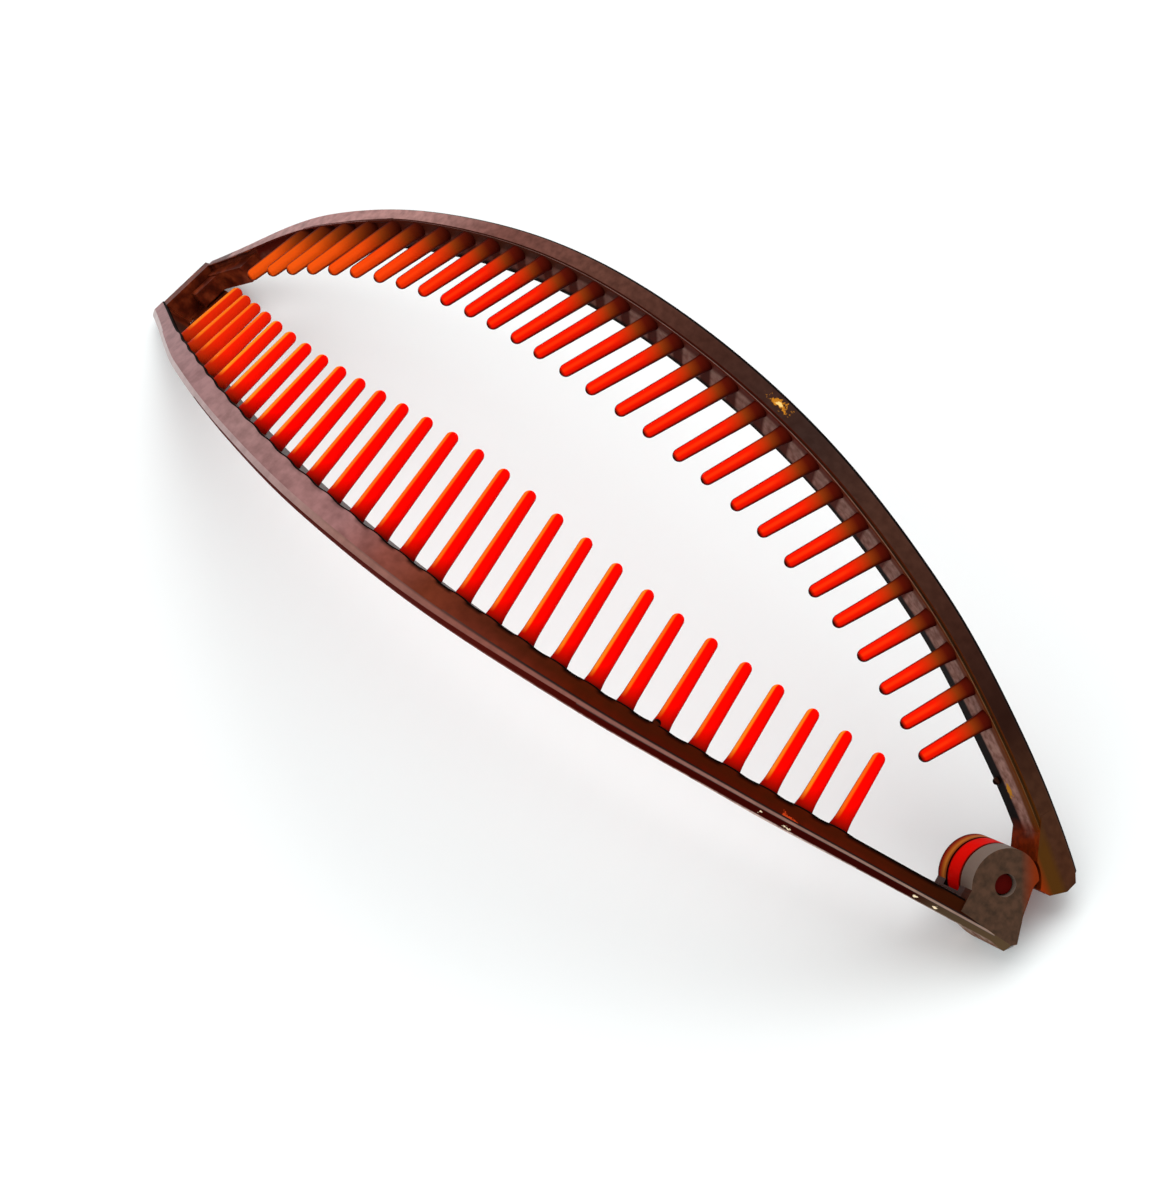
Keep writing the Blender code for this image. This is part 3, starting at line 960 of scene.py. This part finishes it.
def shade_between_teeth(tree, along, inside, nearest):
    """The share of black at the arm's inner edge: fainter toward the clasp, and none beside the ears."""
    edge = add_node(tree, "MapRange", links={0: inside, 1: 0.7, 2: 0.3})
    off_teeth = add_node(tree, "MapRange", links={0: nearest, 1: 0.7, 2: 1.3})
    toward_hinge = add_node(tree, "MapRange", links={0: along, 1: -30.0, 2: 10.0})
    stronger = add_node(tree, "Math", ADD, {0: toward_hinge, 1: 0.1})
    before_ears = add_node(tree, "MapRange", links={0: along, 1: 68.5, 2: 67.0})
    black = add_node(tree, "Math", MULTIPLY, {0: edge, 1: off_teeth})
    held = add_node(tree, "Math", MINIMUM, {0: stronger, 1: 1.0})
    black = add_node(tree, "Math", MULTIPLY, {0: black, 1: held})
    return add_node(tree, "Math", MULTIPLY, {0: black, 1: before_ears})


# %% [markdown]
# The bevel catches the light as a pale line along the arm, a painted highlight, with painted shade as dark
# lines at both its edges toward the hinge. The steep strip below it has almost no sheen of its own. It is
# dark red above, and below it is pale with specks, a painted reflection of the floor, with four painted
# glints.

# %% The lower arm's bevel and outer side
GLINTS = [
    # centre  reach
    ((48.3, -13.6, 0.9), (0.45, 0.5, 0.7)),
    ((51.4, -12.9, 0.8), (0.8, 0.5, 0.5)),
    ((66.6, -7.9, 1.1), (0.35, 0.5, 0.7)),
    ((69.2, -7.1, 1.1), (0.6, 0.5, 0.4)),
]


def finish_lower_bevel():
    made, shader = new_material("lower_bevel_polished_painted_highlight_styrene", FACE_ROUGH, 1.25)
    tree = made.node_tree
    # The pale colour is a painted highlight along the bevel.
    colour = shade_along(tree, (-75.0, "B09A98"), (-30.0, "A48A88"), (-8.0, "8C6258"), (12.0, "80483C"),
                         (40.0, "8A5C52"), (78.0, "A08474"))
    colour = mottled(tree, colour, "40201A", 1.2, 0.25)
    across_bevel, _, _ = read(tree, "clip_rim")
    # Painted shade: dark lines along both edges of the bevel, toward the hinge.
    upper_line = add_node(tree, "MapRange", links={0: across_bevel, 1: 0.72, 2: 0.95})
    lower_line = add_node(tree, "MapRange", links={0: across_bevel, 1: 0.25, 2: 0.05})
    shade_lines = add_node(tree, "Math", MAXIMUM, {0: upper_line, 1: lower_line})
    toward_hinge = add_node(tree, "MapRange", links={0: read(tree, "clip_place")[0], 1: -15.0, 2: 20.0})
    dark = add_node(tree, "Math", MULTIPLY, {0: shade_lines, 1: toward_hinge})
    colour = add_node(tree, "Mix", COLOURS, {0: dark, 6: colour, 7: "1C0804"})
    connect(tree, shader.inputs["Base Color"], colour)
    return made


def finish_lower_outside():
    made, shader = new_material("lower_outside_painted_reflection_styrene", 0.6, 1.02)
    tree = made.node_tree
    _, _, proud = read(tree, "clip_place")
    deep = shade_along(tree, (-75.0, "6E5554"), (-20.0, "4A1C18"), (15.0, "4A100A"), (30.0, "3E0602"),
                       (66.0, "300603"), (70.0, "4C3C2C"), (80.0, "5A4630"))
    # Below, the pale colour is a painted reflection of the floor, with dark specks.
    floor_reflection = shade_along(tree, (-75.0, "8A7270"), (10.0, "7A4A46"), (40.0, "D8B8AC"), (66.0, "F0DCD0"),
                       (80.0, "6A4A30"))
    specks = mottled(tree, floor_reflection, "4A1A10", 0.7, 0.8)
    low = add_node(tree, "MapRange", links={0: proud, 1: 0.55, 2: 0.3})
    colour = add_node(tree, "Mix", COLOURS, {0: low, 6: deep, 7: specks})
    # Four painted glints.
    for centre, reach in GLINTS:
        colour = fleck(tree, colour, "FFE6C0", centre, reach)
    connect(tree, shader.inputs["Base Color"], colour)
    return made


def finish_inside_dark():
    """Painted shade: in the shade between the teeth and in the hinge's slot the plastic is painted nearly
    black. The upper arm's outer corner takes the same near black.
    """
    made, shader = new_material("inside_shaded_styrene", 0.6, 1.08)
    shader.inputs["Base Color"].default_value = linear("080201")
    return made


# %% [markdown]
# The upper arm's near face is the same brown, with a painted mauve reflection toward the clasp, and a
# painted olive and orange glow at the hinge, where the light comes through. A gold chip sits near its outer
# edge, with a painted highlight at its core. A flat beside its inner edge is painted darker as shade, and
# it ends in a fine bead painted pale as a highlight.

# %% The upper arm's near face
CHIP = (18.8, 20.3, 2.0)
CHIP_REACH = (2.2, 0.7, 1.0)
CHIP_HIGHLIGHT = (0.9, 0.35, 1.0)


def finish_upper_face():
    made, shader = new_material("upper_face_polished_painted_sheen_styrene", FACE_ROUGH, 1.11)
    tree = made.node_tree
    # Toward the clasp the mauve is a painted reflection of the bright room.
    colour = shade_along(tree, (-70.0, "A07874"), (-55.0, "AA7C78"), (-39.0, "AA7E78"), (-25.0, "744840"),
                         (-9.0, "5E3A30"), (8.0, "42261E"), (24.0, "36241F"), (36.0, "482C22"),
                         (49.0, "3C221A"), (60.0, "2A1610"), (69.0, "482C1E"), (78.0, "4C2C1C"))
    colour = mottled(tree, colour, "24100A", 1.0, 0.45)
    _, inside, _ = read(tree, "clip_edge")
    # Painted glow at the hinge end: olive by the inner edge, orange past it.
    hinge_end = add_node(tree, "MapRange", links={0: read(tree, "clip_place")[0], 1: 68.0, 2: 73.0})
    near_edge = add_node(tree, "MapRange", links={0: inside, 1: 0.9, 2: 0.1})
    olive_glow = add_node(tree, "Math", MULTIPLY, {0: hinge_end, 1: near_edge})
    colour = add_node(tree, "Mix", COLOURS, {0: olive_glow, 6: colour, 7: "50300E"})
    past_edge = add_node(tree, "MapRange", links={0: inside, 1: -1.0, 2: -2.2})
    glow = add_node(tree, "Math", MULTIPLY, {0: hinge_end, 1: past_edge})
    colour = add_node(tree, "Mix", COLOURS, {0: glow, 6: colour, 7: "8A2C08"})
    # A gold chip, with a painted highlight at its core.
    colour = fleck(tree, colour, "B8741C", CHIP, CHIP_REACH)
    connect(tree, shader.inputs["Base Color"], fleck(tree, colour, "F0C878", CHIP, CHIP_HIGHLIGHT))
    return made


def finish_upper_flat():
    made, shader = new_material("upper_flat_shaded_styrene", 0.4, 1.12)
    tree = made.node_tree
    # Painted shade: the flat is darker than the face; at the hinge end it takes the painted olive glow.
    colour = shade_along(tree, (-70.0, "3A1410"), (0.0, "2E140C"), (40.0, "26120A"), (66.0, "2E1A08"),
                         (78.0, "50300E"))
    connect(tree, shader.inputs["Base Color"], mottled(tree, colour, "4A2C12", 2.0, 0.4))
    return made


def finish_upper_bead():
    made, shader = new_material("upper_bead_polished_painted_highlight_styrene", 0.3, 1.22)
    tree = made.node_tree
    # The pale colour is a painted highlight along the bead.
    colour = shade_along(tree, (-70.0, "5A1E14"), (-30.0, "6A4640"), (20.0, "7A5A50"), (60.0, "6E4A24"),
                         (78.0, "6A3C12"))
    connect(tree, shader.inputs["Base Color"], mottled(tree, colour, "2A120A", 1.4, 0.6))
    return made


# %% [markdown]
# The upper arm's side toward the opening is left frosted by the mould. Between the teeth it shows as
# mottled mauve patches under a red brown line, and low down, where no light comes, it is painted black as
# shade. Near the hinge it has a painted orange glow, with one amber flaw.

# %% The upper arm's inner side
AMBER_FLAW = ((66.7, 8.3, -1.4), (1.5, 1.2, 0.7))


def finish_upper_inside():
    made, shader = new_material("upper_inside_frosted_styrene", 0.45, 1.06)
    tree = made.node_tree
    along, _, proud = read(tree, "clip_place")
    _, _, nearest = read(tree, "clip_edge")
    _, above_back, _ = read(tree, "clip_rim")
    by_roots = shade_along(tree, (-70.0, "480C04"), (-30.0, "46160A"), (10.0, "3E140A"), (78.0, "5A2010"))
    patch = shade_along(tree, (-70.0, "480C04"), (-30.0, "4E1A0E"), (-4.0, "7C5A50"), (78.0, "9C786C"))
    line = shade_along(tree, (-70.0, "480C04"), (-20.0, "3A1A10"), (20.0, "4E1A10"), (60.0, "5A2A10"),
                       (78.0, "5A340C"))
    patch = mottled(tree, patch, "5A342A", 0.8, 0.8)
    off_roots = add_node(tree, "MapRange", links={0: nearest, 1: 0.6, 2: 1.0})
    colour = add_node(tree, "Mix", COLOURS, {0: off_roots, 6: by_roots, 7: patch})
    top = add_node(tree, "MapRange", links={0: proud, 1: 0.5, 2: 1.0})
    colour = add_node(tree, "Mix", COLOURS, {0: top, 6: colour, 7: line})
    # Painted shade: low down the side turns black.
    toward_hinge = add_node(tree, "MapRange", links={0: along, 1: 25.0, 2: 60.0})
    deeper = add_node(tree, "Math", MULTIPLY, {0: toward_hinge, 1: 1.6})
    height = add_node(tree, "Math", SUBTRACT, {0: above_back, 1: deeper})
    black = add_node(tree, "MapRange", links={0: height, 1: 1.1, 2: 0.6})
    colour = add_node(tree, "Mix", COLOURS, {0: black, 6: colour, 7: "0C0302"})
    # Painted glow: orange near the hinge.
    glow = add_node(tree, "MapRange", links={0: along, 1: 70.0, 2: 72.0})
    orange_glow = mottled(tree, "7A2A08", "2A0C04", 1.0, 0.7)
    colour = add_node(tree, "Mix", COLOURS, {0: glow, 6: colour, 7: orange_glow})
    connect(tree, shader.inputs["Base Color"], fleck(tree, colour, "B87E1C", *AMBER_FLAW))
    return made


# %% [markdown]
# The clasp is thick and sits in its own shade, so its brown is painted nearly black with a red cast, as
# shade. At the hinge the plates are thin: the lug in the middle has a painted red glow and the ear behind
# it a painted orange glow, both painted dark at their edges as shade, and the front ear is a dull frosted
# grey brown with a painted glow toward the end. The undersides are an even dark brown.

# %% Finishes of the clasp, the hinge and the undersides
CLASP_CLOUDS_PER_MM = 0.7


def finish_clasp():
    made, shader = new_material("clasp_dark_styrene", 0.35, 1.12)
    tree = made.node_tree
    place_of = add_node(tree, "Attribute", {"attribute_name": "clip_place"}).outputs["Vector"]
    clouds = add_node(tree, "TexNoise", {"Scale": CLASP_CLOUDS_PER_MM, "Detail": 5.0}, {"Vector": place_of})
    # Nearly black: the thick plastic's brown, darkened by painted shade.
    colour = shade_by(tree, clouds, 0.35, 0.75, (0.35, "3A1006"), (0.5, "521A0A"), (0.75, "7A3218"))
    connect(tree, shader.inputs["Base Color"], colour)
    return made


def finish_underside():
    made, shader = new_material("underside_brown_styrene", 0.4, 1.2)
    tree = made.node_tree
    connect(tree, shader.inputs["Base Color"], mottled(tree, "2A110A", "48200F", 2.5, 0.6))
    return made


def finish_lug_rim():
    made, shader = new_material("lug_rim_painted_glow_styrene", 0.4, 1.03)
    tree = made.node_tree
    _, _, level = read(tree, "hinge_place")
    # A painted red glow, dark at both edges as painted shade where the lug meets the ears.
    edge = shade_by(tree, level, *LUG, (-3.6, "5A0603"), (-3.3, "D80A02"), (-1.1, "D00802"),
                    (-0.8, "5A0C04"))
    connect(tree, shader.inputs["Base Color"], edge)
    return made


def finish_rear_rim():
    made, shader = new_material("rear_ear_rim_painted_glow_styrene", 0.4, 1.04)
    tree = made.node_tree
    _, _, level = read(tree, "hinge_place")
    # A painted orange glow, dark at both edges as painted shade.
    edge = shade_by(tree, level, *REAR_EAR, (-5.8, "2A0804"), (-5.3, "8A1C08"), (-4.5, "B86A20"),
                    (-3.9, "6A2008"))
    connect(tree, shader.inputs["Base Color"], edge)
    return made


def finish_front_rim():
    made, shader = new_material("front_ear_rim_frosted_styrene", 0.4, 1.1)
    shader.inputs["Base Color"].default_value = linear("6C5C52")
    return made


def finish_ear_face():
    made, shader = new_material("front_ear_face_frosted_styrene", 0.38, 1.16)
    tree = made.node_tree
    colour = mottled(tree, "523A2C", "32261C", 0.8, 0.8)
    ahead, across, _ = read(tree, "hinge_place")
    # A painted glow toward the ear's end.
    leaning = add_node(tree, "Math", MULTIPLY, {0: ahead, 1: 0.8})
    toward_end = add_node(tree, "Math", ADD, {0: leaning, 1: across})
    glow = add_node(tree, "MapRange", links={0: toward_end, 1: 2.4, 2: 4.6})
    colour = add_node(tree, "Mix", COLOURS, {0: glow, 6: colour, 7: "7A2A08"})
    connect(tree, shader.inputs["Base Color"], colour)
    return made


# %% [markdown]
# Every face of an arm belongs to one of these finishes. Painting them by hand would be lost with the next
# change of shape, so a face's place and the way it faces tell which. Distances are in millimetres, and how
# far a face turns in or up is 1 when it faces that way squarely.

# %% Giving each face its finish
KNUCKLE_FROM = 60.0
SLOT_FROM = 66.0
EAR_END_AHEAD = 2.0
SLACK = 0.1
TURNED_DOWN = -0.5
TURNED_UP = 0.3
LOWER_TURNED_IN = 0.2
LOWER_TURNED_OUT = -0.7
SQUARELY = 0.5
LOWER_BAND_UNDER = 1.0
SHARP_ANGLE = 20.0
LOWER_FINISHES = {
    "face": finish_lower_face(),
    "bevel": finish_lower_bevel(),
    "outside": finish_lower_outside(),
    "dark": finish_inside_dark(),
    "clasp": finish_clasp(),
    "rear_rim": finish_rear_rim(),
    "front_rim": finish_front_rim(),
    "ear_face": finish_ear_face(),
    "underside": finish_underside(),
}
UPPER_FINISHES = {
    "face": finish_upper_face(),
    "flat": finish_upper_flat(),
    "bead": finish_upper_bead(),
    "inside": finish_upper_inside(),
    "dark": LOWER_FINISHES["dark"],
    "clasp": LOWER_FINISHES["clasp"],
    "lug_rim": finish_lug_rim(),
    "underside": LOWER_FINISHES["underside"],
}


def lower_finish(along, inward, inside, proud, faces_in, faces_up, ear):
    ahead, across, level = ear
    round_pin = (ahead * ahead + across * across) ** 0.5
    rim = smooth(SECTION, 8, along) + smooth(SECTION, 6, along) + ROUND / 2.0
    if along > KNUCKLE_FROM and level > FRONT_EAR[1] - SLACK:
        return "ear_face"
    if along > KNUCKLE_FROM and inward > rim and (round_pin < EAR_R + 1.5 * SLACK or ahead > EAR_END_AHEAD):
        if FRONT_EAR[0] < level:
            return "front_rim"
        return "rear_rim" if level < REAR_EAR[1] else "dark"
    if along > SLOT_FROM and inside < -SLACK:
        in_slot = faces_up > TURNED_UP or round_pin < EAR_R + KNUCKLE_CLEAR + SLACK
        return "dark" if in_slot else "underside"
    if along < CATCH_WEB[1][0] + 2.0 * SLACK and inside < -2.0 * SLACK:
        return "clasp"
    if faces_up < TURNED_DOWN or (faces_in > LOWER_TURNED_IN and proud < LOWER_BAND_UNDER):
        return "underside"
    if faces_in > LOWER_TURNED_IN:
        return "dark"
    if faces_in < LOWER_TURNED_OUT:
        return "outside"
    return "bevel" if inward < rim else "face"


def upper_finish(along, inward, inside, proud, faces_in, faces_up, ear):
    ahead, across, _ = ear
    round_pin = (ahead * ahead + across * across) ** 0.5
    if along > KNUCKLE_FROM and round_pin < LUG_R + SLACK:
        return "lug_rim"
    on_top = proud >= NECK_PROUD[1] + SLACK and faces_up >= SQUARELY
    if along < NECK_ROOT[0] + 2.0 * SLACK and not on_top:
        return "clasp"
    outer_side = faces_up < TURNED_UP and faces_in < 0.0 and proud < FACE - 4.0 * ROUND
    if faces_up < TURNED_DOWN or outer_side:
        return "underside"
    if inward < 3.0 * upper_corner(along):
        return "dark"
    if faces_in > SQUARELY:
        return "inside"
    if inside < -2.0 * SLACK:
        return "face"
    if inside < BEAD:
        return "bead"
    return "flat" if inside < BEAD + smooth(SECTION, 7, along) else "face"


def give_finishes(piece, side, finishes, choose):
    mesh = piece.data
    mesh.materials.clear()
    for made in finishes.values():
        mesh.materials.append(made)
    names = list(finishes)
    centres = np.empty(len(mesh.polygons) * 3)
    mesh.polygons.foreach_get("center", centres)
    centres = centres.reshape(-1, 3)
    places, edges, slopes = arm_places(side, centres)
    ears = hinge_places(centres)
    turn = SET_DOWN.to_3x3().normalized().inverted()
    for polygon, where, edge, slope, ear in zip(mesh.polygons, places, edges, slopes, ears):
        facing = turn @ polygon.normal
        up = facing.z * cos(slope) - facing.x * sin(slope)
        name = choose(where[0], edge[0], edge[1], where[2], -side * facing.y, up, ear)
        polygon.material_index = names.index(name)
    mesh.shade_smooth()
    mesh.set_sharp_from_angle(angle=radians(SHARP_ANGLE))


give_finishes(lower_arm, LOWER, LOWER_FINISHES, lower_finish)
give_finishes(upper_arm, UPPER, UPPER_FINISHES, upper_finish)
print("finishes", list(LOWER_FINISHES), list(UPPER_FINISHES))

# %% [markdown]
# The teeth are thin, so white light goes through them and comes out a hot red, painted here as a glow.
# Their roots are darker, the two sides are painted darker as shade, and the side toward the clasp catches
# an orange streak, a painted highlight. Light that passes through could be traced, but a surface colour by
# distance gives the same look at once and holds in every pose.

# %% Finishes of the teeth
TOOTH_LONG = 12.0
UPPER_FAINT = 8.0


def finish_lower_teeth():
    made, shader = new_material("lower_teeth_clear_red_styrene", 0.35, 1.04)
    tree = made.node_tree
    out, _, along = read(tree, "tooth_reach")
    off_ridge, _, luck = read(tree, "tooth_side")
    # The bright red is a painted glow of light passing through; the roots are darker.
    body = shade_by(tree, out, 0.0, TOOTH_LONG, (0.0, "7A0A02"), (1.2, "C80800"), (3.0, "FF0400"),
                    (12.0, "FF0600"))
    near_clasp = add_node(tree, "MapRange", links={0: along, 1: -34.0, 2: -56.0})
    duller = add_node(tree, "Math", MULTIPLY, {0: near_clasp, 1: 0.6})
    body = add_node(tree, "Mix", COLOURS, {0: duller, 6: body, 7: "B4300A"})
    # The orange streak beside the ridge is a painted highlight, stronger on some teeth.
    half_luck = add_node(tree, "Math", MULTIPLY, {0: luck, 1: 0.5})
    amount = add_node(tree, "Math", ADD, {0: half_luck, 1: 0.5})
    on_side = add_node(tree, "MapRange", links={0: off_ridge, 1: 0.42, 2: 0.62})
    past_root = add_node(tree, "MapRange", links={0: out, 1: 0.6, 2: 2.0})
    highlight_streak = add_node(tree, "Math", MULTIPLY, {0: on_side, 1: past_root})
    highlight_streak = add_node(tree, "Math", MULTIPLY, {0: highlight_streak, 1: amount})
    body = add_node(tree, "Mix", COLOURS, {0: highlight_streak, 6: body, 7: "F08418"})
    # Painted shade along both sides of each tooth.
    either_side = add_node(tree, "Math", ABSOLUTE, {0: off_ridge})
    sides = add_node(tree, "MapRange", links={0: either_side, 1: 0.9, 2: 0.99})
    body = add_node(tree, "Mix", COLOURS, {0: sides, 6: body, 7: "6A0800"})
    connect(tree, shader.inputs["Base Color"], body)
    return made


def finish_upper_teeth():
    made, shader = new_material("upper_teeth_clear_red_styrene", 0.35, 1.04)
    tree = made.node_tree
    out, left, along = read(tree, "tooth_reach")
    off_ridge, _, _ = read(tree, "tooth_side")
    # The bright red is a painted glow of light passing through.
    body = shade_by(tree, out, 0.0, TOOTH_LONG, (0.0, "3A0A04"), (0.9, "501006"), (2.0, "80300A"),
                    (3.1, "BC2C08"), (4.6, "E81602"), (12.0, "FA1400"))
    faint = shade_by(tree, out, 0.0, UPPER_FAINT, (0.0, "3A1006"), (2.0, "7A300A"), (5.0, "D0560E"),
                     (8.0, "DC5A10"))
    near_clasp = add_node(tree, "MapRange", links={0: along, 1: -22.0, 2: -48.0})
    fainter = add_node(tree, "Math", MULTIPLY, {0: near_clasp, 1: 0.8})
    body = add_node(tree, "Mix", COLOURS, {0: fainter, 6: body, 7: faint})
    # A painted highlight along the ridge, and painted shade along both sides.
    either_side = add_node(tree, "Math", ABSOLUTE, {0: off_ridge})
    on_ridge = add_node(tree, "MapRange", links={0: either_side, 1: 0.4, 2: 0.1})
    past_root = add_node(tree, "MapRange", links={0: out, 1: 3.5, 2: 5.5})
    lit = add_node(tree, "Math", MULTIPLY, {0: on_ridge, 1: past_root})
    lit = add_node(tree, "Math", MULTIPLY, {0: lit, 1: 0.2})
    body = add_node(tree, "Mix", COLOURS, {0: lit, 6: body, 7: "FF5A18"})
    sides = add_node(tree, "MapRange", links={0: either_side, 1: 0.7, 2: 0.96})
    body = add_node(tree, "Mix", COLOURS, {0: sides, 6: body, 7: "3A0603"})
    tip = add_node(tree, "MapRange", links={0: left, 1: 0.45, 2: 0.1})
    body = add_node(tree, "Mix", COLOURS, {0: tip, 6: body, 7: "240503"})
    connect(tree, shader.inputs["Base Color"], body)
    return made


# %% [markdown]
# The pin is solid and sits in the ears' shade, so it is a dull dark red. The teeth and the pin each have
# one finish, so these pieces are dressed whole.

# %% Dressing the teeth and the pin
TOOTH_SHARP_ANGLE = 50.0


def finish_pin():
    made, shader = new_material("pin_dark_red_styrene", 0.4, 1.08)
    shader.inputs["Base Color"].default_value = linear("4C0805")
    return made


def dress(piece, material):
    piece.data.materials.clear()
    piece.data.materials.append(material)
    piece.data.shade_smooth()
    piece.data.set_sharp_from_angle(angle=radians(TOOTH_SHARP_ANGLE))


dress(lower_teeth, finish_lower_teeth())
dress(upper_teeth, finish_upper_teeth())
dress(hinge_pin, finish_pin())
print("materials", len(bpy.data.materials))

# %% [markdown]
# A large pale floor lies under the clip. The room is bright to both sides, with a dark strip overhead, as a
# photographer hangs a black card so that flat plastic keeps its depth. One large soft lamp gives the shadow
# its side. It is kept out of the reflections, as a crossed filter does, so that it leaves no glare on the
# arms.

# %% The floor and the light
ROOM_BRIGHT = 1.1
ROOM_DARK = 0.10
CARD_LEANS = -0.19
CARD_EDGE = (0.22, 0.42)
LEFT_EDGE = (-0.72, -0.95)
LEFT_SHARE = 0.8
LAMP_AT = (-0.08, 0.32, 0.9)
LAMP_SIZE = 0.8
LAMP_WATTS = 6.2
FLOOR_HALF = 3.0


def add_floor():
    bm = bmesh.new()
    bmesh.ops.create_grid(bm, x_segments=1, y_segments=1, size=FLOOR_HALF)
    floor = make_object("floor", bm)
    made, shader = new_material("floor_matt_paper", 1.0, 1.0)
    shader.inputs["Base Color"].default_value = linear("F2F6F6")
    floor.data.materials.append(made)


def add_light(name, location, size, watts):
    data = bpy.data.lights.new(name, "AREA")
    data.size = size
    data.energy = watts
    light = bpy.data.objects.new(name, data)
    light.location = location
    light.rotation_euler = (-Vector(location)).to_track_quat("-Z", "Y").to_euler()
    light.visible_glossy = False
    bpy.context.scene.collection.objects.link(light)


def add_world():
    world = bpy.data.worlds.new("studio")
    world.use_nodes = True
    tree = world.node_tree
    around = add_node(tree, "TexCoord").outputs["Generated"]
    x, y, _ = add_node(tree, "SeparateXYZ", links={0: around}).outputs
    shifted = add_node(tree, "Math", ADD, {0: y, 1: CARD_LEANS})
    off_card = add_node(tree, "Math", ABSOLUTE, {0: shifted})
    beside = add_node(tree, "MapRange", links={0: off_card, 1: CARD_EDGE[0], 2: CARD_EDGE[1]})
    left = add_node(tree, "MapRange", links={0: x, 1: LEFT_EDGE[0], 2: LEFT_EDGE[1]})
    left = add_node(tree, "Math", MULTIPLY, {0: left, 1: LEFT_SHARE})
    light = add_node(tree, "Math", MAXIMUM, {0: beside, 1: left})
    light = add_node(tree, "Math", MULTIPLY, {0: light, 1: ROOM_BRIGHT - ROOM_DARK})
    strength = add_node(tree, "Math", ADD, {0: light, 1: ROOM_DARK})
    connect(tree, tree.nodes["Background"].inputs["Strength"], strength)
    tree.nodes["Background"].inputs["Color"].default_value = (1.0, 1.0, 1.0, 1.0)
    bpy.context.scene.world = world


add_floor()
add_light("over_light", LAMP_AT, LAMP_SIZE, LAMP_WATTS)
add_world()
bpy.context.scene.view_settings.view_transform = "Standard"

# %% [markdown]
# Last, each piece rides on its body, so the hinge can open the clip, and stands in for its plainer solid.

# %% Bodies
for piece, body, slot in (
    (lower_arm, "lower", "lower_brown_plastic"),
    (lower_teeth, "lower", "lower_brown_plastic"),
    (hinge_pin, "lower", "pin_red_plastic"),
    (upper_arm, "upper", "upper_brown_plastic"),
    (upper_teeth, "upper", "upper_brown_plastic"),
):
    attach(piece, body)
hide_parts("lower_comb")
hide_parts("upper_comb")
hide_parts("hinge_pin")
